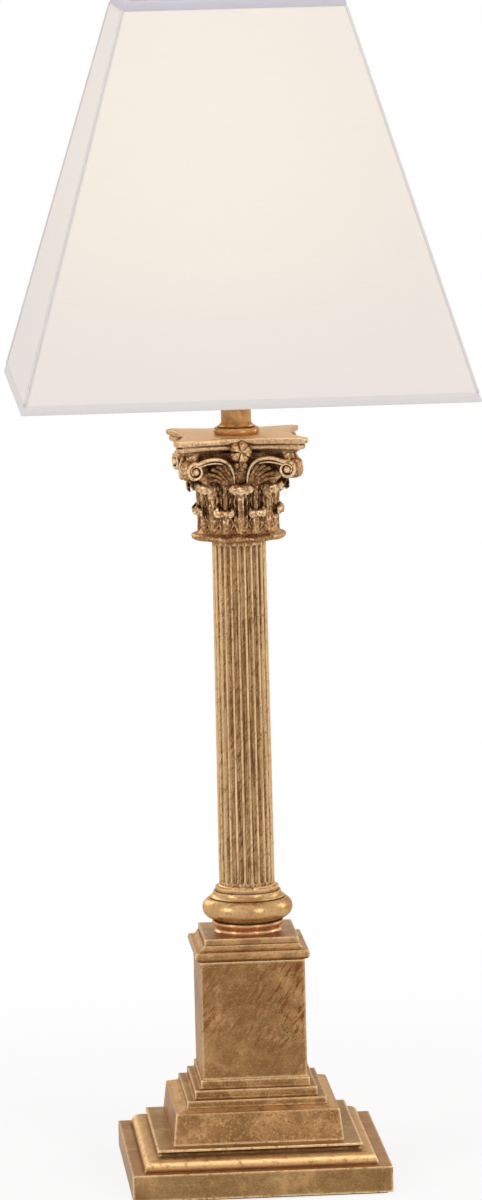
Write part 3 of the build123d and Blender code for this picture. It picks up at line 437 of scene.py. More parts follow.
# ---------------------------------------------------------------- camera
# Fitted to the photograph's edges; the yaw is to the right of straight on and the pitch is down.
CAMERA_PLACE = (-0.3045, -4.2790, 0.9834)
CAMERA_YAW, CAMERA_PITCH, CAMERA_ROLL = radians(4.077), radians(7.722), radians(-1.35)
CAMERA_LENS, SENSOR = 188.4, 36.0
ahead = Vector((sin(CAMERA_YAW) * cos(CAMERA_PITCH), cos(CAMERA_YAW) * cos(CAMERA_PITCH),
                -sin(CAMERA_PITCH)))
level = Vector((cos(CAMERA_YAW), -sin(CAMERA_YAW), 0))
rise = level.cross(ahead)
right = level * cos(CAMERA_ROLL) + rise * sin(CAMERA_ROLL)
up = rise * cos(CAMERA_ROLL) - level * sin(CAMERA_ROLL)
lens = bpy.data.cameras.new("camera")
lens.sensor_fit, lens.sensor_height, lens.lens = "VERTICAL", SENSOR, CAMERA_LENS
lens.clip_start, lens.clip_end = 0.1, 60
camera = bpy.data.objects.new("camera", lens)
camera.matrix_world = Matrix.Translation(CAMERA_PLACE) @ Matrix(
    (right, up, -ahead)).transposed().to_4x4()
bpy.context.scene.collection.objects.link(camera)
bpy.context.scene.camera = camera
bpy.context.scene.view_settings.view_transform = "Standard"


# ---------------------------------------------------------------- room and light
def softbox(name, place, aim, width, height, power):
    """Soft rectangular studio light, in metres and watts, that faces a point on the lamp's axis."""
    light = bpy.data.lights.new(name, "AREA")
    light.shape, light.size, light.size_y = "RECTANGLE", width, height
    light.energy = power
    made = bpy.data.objects.new(name, light)
    made.location = place
    made.rotation_mode = "QUATERNION"
    made.rotation_quaternion = (Vector(aim) - Vector(place)).to_track_quat("-Z", "Y")
    bpy.context.scene.collection.objects.link(made)


softbox("key_left", (-2.3, -1.3, 1.4), (0, 0, 0.45), 0.45, 1.4, 15.5)
softbox("key_right", (1.2, -2.3, 1.2), (0, 0, 0.40), 0.45, 1.4, 13)
softbox("overhead", (0.0, -0.5, 2.3), (0, 0, 0.3), 1.8, 0.5, 12)
softbox("back_left", (-1.3, 2.3, 1.3), (0, 0, 0.45), 0.9, 1.4, 11)
softbox("side_right", (2.5, 0.8, 1.3), (0, 0, 0.45), 0.9, 1.4, 12)

# The world lights the lamp at AMBIENT and looks white wherever it is seen.
AMBIENT = 0.48
backdrop = Finish("studio", world=True)
bpy.context.scene.world = backdrop.material
white_to = backdrop.direct_rays() * (1 - AMBIENT) + AMBIENT
shown = backdrop.node("Background", inputs={"Color": (1, 1, 1, 1), "Strength": white_to})
backdrop.node("OutputWorld", inputs={0: shown})

# The floor looks white far away; near the lamp some of its lit paint shows and keeps the shadow.
FLOOR_REACH = 40
NEAR_LAMP, FAR_FROM_LAMP, LEAST_WHITE = 0.20, 0.9, 0.84
floor_finish = Finish("pale_floor")
floor_place = floor_finish.place()
spread = floor_finish.axes(floor_place)
away = (spread[0] ** 2 + spread[1] ** 2) ** 0.5
paint = floor_finish.mix(floor_finish.noise(floor_place, 3, 4).between(0.3, 0.7) * 0.3,
                         (0.86, 0.86, 0.86, 1), (0.84, 0.84, 0.845, 1))
matt = floor_finish.node("BsdfDiffuse", inputs={"Color": paint, "Roughness": 0.4})
white = floor_finish.node("Emission", inputs={"Color": (1, 1, 1, 1), "Strength": 1.0})
whiteness = floor_finish.direct_rays() * (
    away.between(NEAR_LAMP, FAR_FROM_LAMP) * (1 - LEAST_WHITE) + LEAST_WHITE)
blend = floor_finish.node("MixShader", inputs={0: whiteness, 1: matt, 2: white})
floor_finish.node("OutputMaterial", inputs={0: blend})
floor_mesh = bpy.data.meshes.new("floor")
floor_mesh.from_pydata([(x * FLOOR_REACH, y * FLOOR_REACH, 0) for x, y in
                        ((-1, -1), (1, -1), (1, 1), (-1, 1))], [], [(0, 1, 2, 3)])
floor_mesh.materials.append(floor_finish.material)
floor = bpy.data.objects.new("floor", floor_mesh)
bpy.context.scene.collection.objects.link(floor)

# ---------------------------------------------------------------- imported pieces' finishes
# Bands of tone: the plinth's roll lightened as painted light, the red line under it, a painted
# highlight across its middle and painted shade in the groove under the crown, and a painted
# highlight on the bevel over the foot's block.
PLINTH_TONE_AND_LIGHT_BANDS = ((21.2, 27.4, rgb(206, 158, 104), 0.7), (19.6, 21.6, rgb(170, 104, 62), 0.7),
                (23.0, 25.4, rgb(246, 208, 152), 0.66), (27.8, 30.8, rgb(84, 54, 30), 0.8))
FOOT_PAINTED_HIGHLIGHT = ((54.4, 56.6, rgb(222, 178, 124), 0.7),)
dress(gilding("leaf_on_plinth", light=rgb(162, 127, 82), dull=rgb(140, 107, 64), brushed=0.6,
              rub=0.8, specks=0.35, recess=0.6, pebble=0.5, bands=PLINTH_TONE_AND_LIGHT_BANDS), "base_plinth")
dress(gilding("leaf_on_foot", light=rgb(170, 127, 80), dull=rgb(142, 102, 60), specks=0.8,
              recess=0.6, recess_range=(0.90, 0.56), pebble=1.0, bands=FOOT_PAINTED_HIGHLIGHT),
      "pedestal_foot")
dress(gilding("leaf_on_die", light=rgb(174, 131, 83), dull=rgb(140, 102, 60), streaks=1.0,
              specks=0.9, brushed=0.2), "pedestal_die")
dress(gilding("leaf_on_cap", light=rgb(190, 147, 98), recess_range=(0.96, 0.60), pebble=0.8,
              polish=0.30), "pedestal_cap")
dress(gilding("leaf_on_column_base", light=rgb(220, 178, 124), dull=rgb(186, 142, 92),
              copper=(176.5, 182.5), polish=0.28, specks=0.2, rub=0.3, pebble=0.2), "column_base")
dress(gilding("leaf_on_shaft", light=rgb(230, 186, 132), dull=rgb(190, 144, 92), streaks=0.8,
              specks=1.0, recess=0.8, recess_reach=0.0026, recess_range=(0.94, 0.79),
              pebble=0.8, grained=0.9, polish=0.28), "column_shaft")
dress(gilding("burnished_neck", light=rgb(224, 174, 118), dull=rgb(186, 134, 84),
              lit=rgb(252, 216, 156), polish=0.17, specks=0.15, rub=0.2, pebble=0.2), "neck_collar")
dress(metal("turned_brass", rgb(202, 158, 98), 0.26), "finial", "harp_stud")
dress(metal("brass_plate", rgb(196, 160, 104), 0.30), "harp", "harp_saddle", "harp_sleeve_left",
      "harp_sleeve_right")
dress(metal("spun_brass", rgb(194, 158, 100), 0.34), "socket_cap", "socket_shell")
dress(metal("white_wire", rgb(226, 224, 220), 0.42, shade=rgb(190, 188, 184), metallic=0.0),
      "bottom_ring", "spider_frame", "corner_ribs")
dress(metal("zinc_steel", rgb(178, 180, 182), 0.38), "lamp_pipe", "bottom_nut", "bottom_washer",
      "terminal_screws")
dress(metal("screw_aluminium", rgb(205, 206, 208), 0.30), "screw_shell", "centre_contact")
dress(moulded("liner_card", rgb(62, 56, 50), 0.85, 500), "socket_liner")
dress(moulded("switch_plastic", rgb(34, 30, 28), 0.38), "switch_body", "switch_knob")
dress(moulded("bushing_plastic", rgb(40, 32, 26), 0.42), "cord_bushing")
dress(moulded("cast_weight", rgb(70, 68, 66), 0.75, 420), "base_weight")

# ---------------------------------------------------------------- capital
BELL_FOOT, ABACUS_TOP = 450.4, 517.3
BELL = ((0.0, 25.0), (12.0, 25.0), (30.0, 25.8), (42.0, 28.2), (50.0, 31.0), (57.0, 34.6))
ABACUS_HALF, ABACUS_CONCAVE, HORN_CUT = 46.1, 8.7, 4.2
# A leaf starts to roll outwards at CURL_FROM of its length and turns CURL_TURN half circles.
# Its width becomes an angle at the radius LEAF_SPREAD.
CURL_FROM, CURL_TURN, LEAST_CURL = 0.62, 1.12, 2.6
LEAF_SPREAD, LOBE_SLANT, POINTS_PER_BACK_POINT = 29.0, 1.1, 4
FLOWER_REACH, FLOWER_DROP, FLOWER_BACK = 38.6, 8.6, 4.5
SCROLL_REACH, SCROLL_LEVEL = 51.2, 496.4
EYE_ALONG, EYE_OUT, EYE_DROP, FACE_TURN = 31.2, 40.1, 0.6, -15.0
SPIRAL_START, SPIRAL_TURNS, SPIRAL_WIDE, SPIRAL_NARROW = 112, 1.5, 5.8, 2.6
STEM_POINTS, POST_POINTS, FILLET_POINTS, INNER_POINTS, RIB_POINTS = 20, 6, 110, 40, 24

# Marks on the capital's points give its painted light: how lit or shaded each point is painted,
# how thick the casting is, and where its top is painted paler as if lit from above.
BELL_MARK, ROLL_MARK, FILLET_MARK, FAN_MARK, EYE_MARK = (
    (painted_light, 0, 0) for painted_light in (0.50, 0.62, 0.86, 0.34, 0.92))
ABACUS_PAINTED_LIGHT, ABACUS_TOP_PAINTED_LIGHT = 0.72, 0.90

# (radius or inset, height) profiles, and (along the side, out from the axis, level) routes.
NECK_RING = [(0.4, 442.4), (13.0, 442.4), (13.0, 445.2), (30.6, 445.2), (32.3, 446.0),
             (32.8, 447.3), (32.2, 448.7), (30.6, 449.6), (29.0, 450.0), (27.6, 451.2),
             (26.4, 453.4), (25.2, 456.5)]
BELL_LID = [(34.0, 507.6), (30.0, 508.2), (0.4, 508.2)]
ABACUS_PROFILE = [(16.0, 506.6), (12.0, 506.6), (9.6, 507.0), (8.3, 507.9), (7.0, 508.8),
                  (5.4, 509.2), (4.0, 509.4), (3.2, 509.9), (2.5, 511.0), (2.6, 512.2),
                  (3.4, 512.9), (3.5, 513.3), (1.4, 513.4), (0.6, 513.8), (0.5, 514.3),
                  (0.1, 514.6), (0.0, 515.0), (0.0, 516.6), (0.25, 517.1), (0.8, 517.3),
                  (20.0, 517.3)]
HALF_ROLL = [(6.8, 0.5), (6.9, 1.2), (6.0, 2.2), (4.4, 3.2), (2.6, 4.0), (1.0, 4.2)]
ROLL_PROFILE = [(radius, -end) for radius, end in reversed(HALF_ROLL)] + [(6.6, 0)] + HALF_ROLL
DISC_PROFILE = [(4.6, -7.0), (6.0, -4.0), (6.3, -1.7), (5.7, -0.9), (4.6, -1.1), (0.3, -1.1)]
EYE_PROFILE = [(1.2, -1.2), (2.3, -0.4), (2.5, 0.4), (2.1, 1.3), (1.2, 1.9), (0.2, 2.1)]
STEM_ROUTE = [(0, 25.5, 478), (0, 29.5, 486), (0, 35.0, 492.5), (0, 41.5, 496.6), (0, 48.5, 497.6)]
POST_ROUTE = [(0, 47.2, 498), (0, 46.4, 502.5), (0, 45.0, 507.6)]
FILLET_ROUTE = [(4.6, 31.6, 485.0), (5.0, 33.0, 492.0), (7.0, 34.8, 498.4), (11.5, 36.4, 502.4),
                (17.5, 37.8, 503.8), (23.5, 38.8, 503.2)]
FAN_ENDS = [(12.0, 499.8), (16.4, 499.2), (20.2, 497.0), (23.0, 493.4), (23.6, 489.6)]


def bell_radius(height):
    """Radius of the bell under the leaves at a level."""
    rises, radii = zip(*BELL)
    return np.interp(np.asarray(height) - BELL_FOOT, rises, radii)


def add_leaf(form, angle, rise_height, reach, width, lobes, stand, rows_up=52, points=45):
    """Acanthus leaf that climbs the bell, with lobes, a midrib and a tip that rolls outwards.

    rise_height is its height, reach how far its tip comes out from the axis, and stand how far
    it stands off the bell.
    """
    up_share, across = np.meshgrid(np.linspace(0, 1, rows_up), np.linspace(-1, 1, points),
                                   indexing="ij")
    climb = np.clip(up_share / CURL_FROM, 0, 1)
    curl = np.clip((up_share - CURL_FROM) / (1 - CURL_FROM), 0, 1)
    # the midline, from the foot up the bell and round the tip
    wall = float(bell_radius(BELL_FOOT + rise_height)) + stand
    roll = max(reach - wall, LEAST_CURL) / 2.0
    bend = curl * pi * CURL_TURN
    height = BELL_FOOT - 0.5 + (rise_height - roll) * climb + roll * np.sin(bend)
    out = (bell_radius(np.minimum(height, BELL_FOOT + rise_height)) + stand
           + roll * (1 - np.cos(bend)))
    # the outline, notched between the lobes
    edge = np.abs(across)
    lobe_count = lobes * (up_share / CURL_FROM)
    notch = (0.5 - 0.5 * np.cos(2 * pi * (lobe_count - LOBE_SLANT))) ** 2
    half = width / 2 * (0.76 + 0.26 * np.sin(pi * climb ** 0.85) + 0.22 * curl)
    half = half * (1 - 0.30 * curl ** 3)
    half = half * (1 - 0.34 * edge ** 1.5 * notch)
    # the relief: lobes, flutes, the midrib, fine veins, pierced holes and edges that sink back
    beat = lobe_count - LOBE_SLANT * edge
    fan = np.cos(2 * pi * beat)
    flute = np.cos(2 * pi * 2.5 * across)
    tip_fan = np.cos(2 * pi * 1.5 * across)
    pierced = np.exp(-((curl - 0.48) / 0.14) ** 2) * (0.5 + 0.5 * np.cos(2 * pi * 3 * across + pi))
    lift = (0.55 * fan * edge ** 0.6) * (1 - curl) + 0.9 * tip_fan * curl * (0.4 + edge)
    lift = lift - 0.75 * flute * (1 - curl) * np.sin(pi * climb ** 1.4)
    lift = lift + 0.9 * np.exp(-(across / 0.12) ** 2) * (1 - 0.7 * curl)
    lift = lift + 0.28 * np.cos(2 * pi * 3 * beat) * edge
    lift = lift - 0.7 * pierced
    sink = 2.4 * edge ** 2.2 * (1 - curl)
    # painted light: lighter on proud lobes, the midrib and the rolled tip, painted shade in the
    # pierced holes, under the tip and lower down the bell
    painted_light = np.clip(0.46 + 0.40 * lift - 0.10 * sink + 0.36 * curl, 0, 1)
    painted_light = painted_light * (0.72 + 0.28 * climb) - 0.60 * pierced - 0.40 * curl * (0.5 - 0.5 * tip_fan)
    painted_light = np.clip(painted_light, 0, 1)
    # the front with its drooping tip, and a plainer back
    front = out + (lift - sink) * np.cos(bend)
    droop = 2.6 * np.clip((curl - 0.7) / 0.3, 0, 1) * (0.65 + 0.35 * tip_fan)
    front_height = height - (lift - sink) * np.sin(bend) - droop
    depth = 1.3 - 0.6 * curl + (stand - 0.6) * (1 - climb)
    back = front - depth * np.cos(bend)
    back_height = front_height + depth * np.sin(bend)
    spin = radians(angle) + across * half / LEAF_SPREAD

    def placed(radius, level_height):
        return np.stack([radius * np.cos(spin), radius * np.sin(spin), level_height], -1)
    behind = (slice(None), slice(None, None, -POINTS_PER_BACK_POINT))
    rows = np.concatenate([placed(front, front_height), placed(back, back_height)[behind]], 1)
    # painted light on the leaf's back, lighter where the tip rolls over
    back_painted_light = 0.25 + (0.60 + 0.15 * tip_fan) * curl
    painted_light = np.concatenate([painted_light, back_painted_light[behind]], 1)
    form.grid(rows, marks=np.stack([painted_light, 0 * painted_light, 0 * painted_light], -1))


def abacus_ring(inset, level_height, per_side=26):
    """Points round the abacus at one level: concave sides between cut horns."""
    tip = ABACUS_HALF - inset * 0.75
    cut = tip - HORN_CUT
    middle = ABACUS_HALF - ABACUS_CONCAVE - inset
    sag = tip - middle
    radius = (cut * cut + sag * sag) / (2 * sag)
    reach = np.linspace(-cut, cut, per_side)
    depth = middle + radius - np.sqrt(radius ** 2 - reach ** 2)
    return np.concatenate([np.stack([*swung(reach, -depth, quarter * pi / 2),
                                     np.full(per_side, level_height)], 1)
                           for quarter in range(4)])


def add_flower(form, angle):
    """Scalloped flower at the middle of an abacus side, with a bud below it."""
    for radius, petals, drop, depth, out in ((8.0, 5, 0.0, 3.2, 0.0), (4.6, 4, 9.6, 3.0, -3.0)):
        share, turn = np.meshgrid(np.linspace(0.04, 1, 16),
                                  np.linspace(0, 2 * pi, 56, endpoint=False), indexing="ij")
        scallop = np.abs(np.cos(petals * turn / 2)) ** 0.4
        edge = radius * (0.80 + 0.20 * scallop)
        cup = depth * (0.35 + 0.65 * np.sin(pi * share ** 1.3)) * (0.6 + 0.4 * scallop)
        cup = cup + 2.0 * np.exp(-(share / 0.26) ** 2) + 0.55 * np.cos(3 * petals * turn) * share
        cup = cup * np.clip((1 - share) / 0.08, 0.25, 1)
        level_height = ABACUS_TOP - FLOWER_DROP - drop + share * edge * np.sin(turn)
        sideways = share * edge * np.cos(turn)
        front = np.stack([sideways, -(FLOWER_REACH + out + cup), level_height], -1)
        rim = front[-1:].copy()
        rim[..., 1] = -(FLOWER_REACH + out - FLOWER_BACK)
        rows = np.concatenate([front, rim], 0)
        rows[..., 0], rows[..., 1] = swung(rows[..., 0], rows[..., 1], radians(angle))
        # painted light: the flower is painted lighter where its cup stands out
        painted_light = np.clip(0.28 + 0.14 * cup, 0, 0.9)
        painted_light = np.concatenate([painted_light, painted_light[-1:]], 0)
        form.grid(rows, marks=np.stack([painted_light, 0 * painted_light, 0 * painted_light], -1))


def routed(along, out, route):
    """Points of a route from its distances along and out from the axis, and its levels."""
    return [along * x + out * distance + np.array([0, 0, z]) for x, distance, z in route]


def add_scroll(form, angle):
    """Corner scroll: a waisted roll with a spiral fillet and an eye on each of its two faces."""
    outward_way = np.array([cos(radians(angle)), sin(radians(angle)), 0.0])
    sideways = np.array([-outward_way[1], outward_way[0], 0.0])
    form.mark = ROLL_MARK
    form.turned(ROLL_PROFILE, 40, outward_way * SCROLL_REACH + np.array([0, 0, SCROLL_LEVEL]),
                sideways)
    form.tube(smooth_line(routed(sideways, outward_way, STEM_ROUTE), STEM_POINTS),
              np.linspace(3.6, 5.2, STEM_POINTS), 12, flat=1.3)
    form.tube(smooth_line(routed(sideways, outward_way, POST_ROUTE), POST_POINTS),
              np.linspace(4.2, 4.8, POST_POINTS), 12)
    for side in (1, -1):
        face_way = np.array([cos(radians(angle + 45 * side)), sin(radians(angle + 45 * side)), 0])
        along = outward_way - face_way * cos(radians(45))
        along /= np.linalg.norm(along)
        turned_way = face_way * cos(radians(FACE_TURN)) + along * sin(radians(FACE_TURN))
        level_way = along * cos(radians(FACE_TURN)) - face_way * sin(radians(FACE_TURN))
        eye = (along * EYE_ALONG + face_way * EYE_OUT
               + np.array([0, 0, SCROLL_LEVEL - EYE_DROP]))
        # the fillet rises beside the flower's bud, runs out under the abacus and winds inwards
        turns = np.linspace(0, 1, 60)
        swing = radians(SPIRAL_START) - turns * 2 * pi * SPIRAL_TURNS
        spiral_radius = SPIRAL_WIDE * (1 - turns) ** 0.9 + SPIRAL_NARROW * turns
        spiral = (eye + np.outer(spiral_radius * np.cos(swing), level_way)
                  + np.outer(spiral_radius * np.sin(swing), [0, 0, 1.0]))
        lead = routed(along, face_way, FILLET_ROUTE)
        form.mark = FILLET_MARK
        form.tube(smooth_line(np.vstack([lead, spiral[::3]]), FILLET_POINTS),
                  np.interp(np.linspace(0, 1, FILLET_POINTS), [0, 0.2, 0.5, 1],
                            [0.8, 1.25, 1.45, 0.8]), 10, side_axis=turned_way)
        inner = np.vstack([np.array(lead) + [0, 0, -2.7] - face_way * 1.2,
                           spiral[0:1] + [0, 0, -2.2]])
        form.tube(smooth_line(inner, INNER_POINTS), np.linspace(0.5, 0.9, INNER_POINTS), 8)
        # the fan of ribs below it, and the disc and eye that the spiral winds round
        form.mark = FAN_MARK
        for rib, (end_along, end_level) in enumerate(FAN_ENDS):
            sweep = routed(along, face_way, [
                (4.4 + 0.5 * rib, 30.6, 480.0), (6.0 + 1.1 * rib, 32.6, 488.5 - 0.8 * rib),
                (0.4 * 6.6 + 0.6 * end_along, 34.6, 0.3 * 488 + 0.7 * end_level),
                (end_along, 36.0 - 0.35 * rib, end_level)])
            form.tube(smooth_line(sweep, RIB_POINTS), np.linspace(1.0, 1.75, RIB_POINTS), 10)
        form.turned(DISC_PROFILE, 32, eye, turned_way)
        form.mark = EYE_MARK
        form.turned(EYE_PROFILE, 20, eye, turned_way)


def ring_wave(turn, radius, height):
    """Slight unevenness of the cast neck ring, between its two levels."""
    share = max(0.0, min(1.0, (radius - 24) / 8)) * (1.0 if 445 < height < 451 else 0.0)
    return 0.22 * share * (np.cos(8 * turn) - 1), 0.3 * share * np.cos(8 * turn + 0.4)


capital_form = Form(mark=BELL_MARK)
bell_profile = [(bell_radius(BELL_FOOT + rise_height), BELL_FOOT + rise_height)
                for rise_height in np.linspace(8, 56.6, 14)]
capital_form.turned(NECK_RING + bell_profile + BELL_LID, 128, wave=ring_wave)
for k in range(8):
    add_leaf(capital_form, 22.5 + 45 * k, 16.4, 29.0, 17.5, 2.0, 2.2)
    add_leaf(capital_form, 45 * k, 34.4, 34.6, 17.5, 4.0, 2.6)
    add_leaf(capital_form, 22.5 + 45 * k, 43.0, 35.4, 12.0, 5.0, 1.8, rows_up=36, points=33)
for k in range(4):
    add_scroll(capital_form, 45 + 90 * k)
    add_flower(capital_form, 90 * k)
abacus_rows = np.array([abacus_ring(inset, height) for inset, height in ABACUS_PROFILE])
abacus_levels = abacus_rows[..., 2]
# painted light on the abacus: its top face is painted lighter, as painted top light; the whole
# abacus counts as thick
abacus_marks = np.ones_like(abacus_rows)
abacus_marks[..., 0] = np.where(abacus_levels > ABACUS_TOP - 0.3, ABACUS_TOP_PAINTED_LIGHT, ABACUS_PAINTED_LIGHT)
abacus_marks[..., 2] = np.where(abacus_levels > ABACUS_TOP - 0.1, 1.0, 0.0)
capital_form.grid(abacus_rows, marks=abacus_marks)
capital_form.piece("capital_casting", gilding(
    "leaf_on_capital", light=rgb(190, 148, 102), dull=rgb(160, 118, 76), lit=rgb(240, 208, 166),
    recess=0.85, recess_reach=0.0045, recess_range=(0.82, 0.36), specks=0.3, rub=0.2, polish=0.34,
    pebble=0.5, modelled=True), "lamp_base", ["capital"], attribute="relief",
    smooth_angle=52)

# ---------------------------------------------------------------- bulb
THREAD_PITCH, THREAD_DEPTH, SCREW_RADIUS = 3.6, 0.7, 13.1
THREAD_FOOT, THREAD_HEAD, THREAD_FADE = 4.5, 22.5, 1.5
NOSE_RADIUS, NOSE_HEIGHT = 5.0, 1.4
THREAD_ROWS, THREAD_AROUND = 150, 96
bulb_low, bulb_high = levels("bulb_base")
base_form = Form()
base_form.turned([(0.3, bulb_low), (3.4, bulb_low), (4.4, bulb_low + 0.9), (4.6, bulb_low + 1.6)],
                 48)
turn = np.linspace(0, 2 * pi, THREAD_AROUND, endpoint=False)
thread_foot, thread_head = bulb_low + THREAD_FOOT, bulb_low + THREAD_HEAD
rows = []
for share in np.linspace(0, 1, THREAD_ROWS):
    level_height = bulb_low + NOSE_HEIGHT + share * (bulb_high - bulb_low - NOSE_HEIGHT)
    plain = np.interp(level_height, [bulb_low + NOSE_HEIGHT, thread_foot, thread_head],
                      [NOSE_RADIUS, SCREW_RADIUS - THREAD_DEPTH, SCREW_RADIUS - THREAD_DEPTH])
    fade = np.clip(min(level_height - thread_foot, thread_head - level_height) / THREAD_FADE, 0, 1)
    ridge = 0.5 - 0.5 * np.cos(2 * pi * level_height / THREAD_PITCH - turn)
    rows.append(level_ring(plain + THREAD_DEPTH * fade * ridge, turn, level_height))
base_form.grid(rows)
base_form.piece("bulb_screw", metal("screw_cap_aluminium", rgb(206, 206, 204), 0.28), "bulb",
                ["bulb_base"], smooth_angle=40)

glass = Finish("frosted_glass")
frost = glass.noise(glass.place(), 900, 2)
opal = glass.mix(frost.between(0.3, 0.7) * 0.3, rgb(246, 244, 238), rgb(238, 236, 230))
warmth = glass.mix(frost.between(0.2, 0.8), rgb(255, 246, 232), rgb(255, 249, 240))
dress(glass.surface(base_color=opal, roughness=(0.32 + frost * 0.1).held(),
                    emission_color=warmth, emission_strength=6.5,
                    normal=glass.relief(frost, 0.00005, 0.3)), "bulb_glass")


# ---------------------------------------------------------------- shade
SLUB_TONE, WEAVE_SHADE, CLOTH_BUMP = rgb(196, 184, 168), rgb(180, 170, 158), 0.00008


def woven(name, base, painted_glow=None, cool=None, pitch=0.55, slub=1.0):
    """Closely woven cloth: crossing threads with slubs, a painted glow and a slow change of tone.

    pitch is the thread spacing in millimetres. The tone in front of the bulb is a painted glow of
    the lit bulb through the cloth, and cool is the tone near the lower edge.
    """
    finish = Finish(name)
    cloth = finish.stored("cloth")
    across, along = finish.axes(cloth)[:2]
    step = pitch * MM
    warp = ((across / step) * (2 * pi)).wave()
    weft = ((along / step) * (2 * pi)).wave()
    thick = finish.noise(finish.stretched(cloth, (30, 900, 1)), 1.0, 4, 0.6)
    thin = finish.noise(finish.stretched(cloth, (900, 40, 1)), 1.0, 4, 0.6)
    slubs = (thick.between(0.5, 0.75) + thin.between(0.52, 0.78) * 0.7) * 0.5
    tone = base
    if painted_glow:
        # painted glow: the cloth painted warmer round the bulb, as its light shining through
        x, _, z = finish.axes(finish.place())
        from_bulb = ((x + 0.02) ** 2 + (z - 0.70) ** 2) ** 0.5
        tone = finish.mix(from_bulb.between(0.17, 0.02) * 0.8, tone, painted_glow)
        tone = finish.mix((0.68 - z).between(0.0, 0.16) * 0.6, tone, cool)
    shade = finish.mix(slubs * (0.10 * slub), tone, SLUB_TONE)
    shade = finish.mix((warp * weft).between(-0.2, -0.9) * 0.06, shade, WEAVE_SHADE)
    height = warp * 0.25 + weft * 0.25 + slubs * 0.9
    fluff = finish.noise(cloth, 2600, 2)
    return finish.surface(base_color=shade, roughness=(0.88 + (fluff - 0.5) * 0.1).held(),
                          sheen_weight=0.12, sheen_roughness=0.5,
                          normal=finish.relief(height + fluff * 0.3, CLOTH_BUMP, 0.35))


BOTTOM_HALF, TOP_HALF = 152.5, 73.3
PANEL_THICKNESS, PANEL_BELLY, PANEL_END_GAP = 1.2, 0.45, 0.15
PANEL_ROWS, PANEL_POINTS = 60, 61
# The trim is a tape twice HALF_TAPE thick, folded round the wire ring, which takes WIRE_SPAN.
TRIM_HEIGHT, HALF_TAPE, WIRE_SPAN, TRIM_POINTS = 6.2, 0.17, 4.0, 40
WELT_RADIUS, WELT_POINTS, WELT_SIDES, WELT_LAP = 1.0, 90, 12, 0.3
WELT_AROUND, WELT_ALONG = 0.0005, 0.0031  # metres of cloth from one point to the next
shade_low, shade_high = levels("shade_panel_front")
SLOPE = (BOTTOM_HALF - TOP_HALF) / (shade_high - shade_low)
SLANT = sqrt(1 + SLOPE ** 2)
linen = woven("shade_linen", rgb(241, 231, 222), painted_glow=rgb(249, 240, 228), cool=rgb(237, 229, 227))
tape = woven("trim_tape", rgb(223, 218, 215), pitch=0.8, slub=0.5)
grey_tape = woven("top_trim_tape", rgb(200, 197, 206), pitch=0.8, slub=0.5)
welt = woven("piping_cloth", rgb(223, 218, 216), pitch=0.8, slub=0.4)


def half_width(level_height, outset=0.0):
    """Half the shade's width over its outer faces at a level, moved outwards by outset."""
    return BOTTOM_HALF - SLOPE * (level_height - shade_low) + outset * SLANT


def face_point(quarter, across, level_height, outset):
    """Point on one face of the shade: across is from -1 to 1 between its corners."""
    half = half_width(level_height, outset)
    x, y = swung(across * half, -half, quarter * pi / 2)
    return np.stack([x, y, level_height + 0 * half], -1)


panel_slant = (shade_high - shade_low) * SLANT
for quarter, side in enumerate(("front", "right", "back", "left")):
    share, across = np.meshgrid(np.linspace(0, 1, PANEL_ROWS), np.linspace(-1, 1, PANEL_POINTS),
                                indexing="ij")
    level_height = shade_low + PANEL_END_GAP + share * (
        shade_high - shade_low - 2 * PANEL_END_GAP)
    belly = np.sin(pi * share) * (1 - across ** 2)
    ripple = 0.10 * np.sin(5.1 * across + 3.0 * share + quarter) * np.sin(pi * share)
    outset = PANEL_BELLY * belly * (1 + ripple) - 0.05
    outer = face_point(quarter, across, level_height, outset)
    inner = face_point(quarter, across, level_height, outset - PANEL_THICKNESS + 0.05)
    marks = np.stack([across * half_width(level_height) * MM, share * panel_slant * MM,
                      0 * share], -1)
    panel_form = Form()
    panel_form.grid(np.concatenate([outer, inner[:, ::-1]], 1),
                    marks=np.concatenate([marks, marks[:, ::-1]], 1))
    panel_form.piece(f"linen_panel_{side}", linen, "shade",
                                   [f"shade_panel_{side}"], smooth_angle=50)


def add_trim(name, edge_level, inward, node, cloth):
    """Tape folded over the shade's edge: an outer leg, the fold, and a leg inside the wire ring.

    inward is 1 where the tape stands up from the edge and -1 where it hangs down from it.
    """
    leg = TRIM_HEIGHT
    wire_depth = PANEL_THICKNESS + WIRE_SPAN
    line = np.array([(0.15, leg), (0.55, leg * 0.6), (0.62, leg * 0.25), (0.45, 0.25),
                     (-0.2, 0.05), (-wire_depth + 0.9, 0.05), (-wire_depth + 0.1, 0.5),
                     (-wire_depth, 1.6), (-wire_depth + 0.1, leg * 0.9)])
    ahead_way = np.gradient(line, axis=0)
    ahead_way /= np.linalg.norm(ahead_way, axis=1)[:, None]
    normal = np.stack([-ahead_way[:, 1], ahead_way[:, 0]], 1)
    ring = np.concatenate([line + normal * HALF_TAPE, (line - normal * HALF_TAPE)[::-1]])
    flat_length = np.concatenate([[0], np.cumsum(np.linalg.norm(np.diff(line, axis=0), axis=1))])
    steps = np.concatenate([flat_length, flat_length[::-1]])
    heights = edge_level + inward * ring[:, 1]
    rows, marks, run = [], [], 0.0
    for quarter in range(4):
        for across in np.linspace(-1, 1, TRIM_POINTS, endpoint=False):
            rows.append(face_point(quarter, across, heights, ring[:, 0]))
            run += 2 * half_width(edge_level) / TRIM_POINTS
            marks.append(np.stack([steps * MM, steps * 0 + run * MM, steps * 0], 1))
    form = Form()
    form.grid(rows, marks=marks, joined=True)
    made = form.piece(name, cloth, "shade", [node], smooth_angle=60)
    # the cut size: each strip of the fold has the length of its own way round the shade
    middles = (line[1:] + line[:-1]) / 2
    perimeters = [8 * half_width(edge_level + inward * z, o) for o, z in middles]


add_trim("bottom_tape", shade_low, 1, "bottom_trim", tape)
add_trim("top_tape", shade_high, -1, "top_trim", grey_tape)

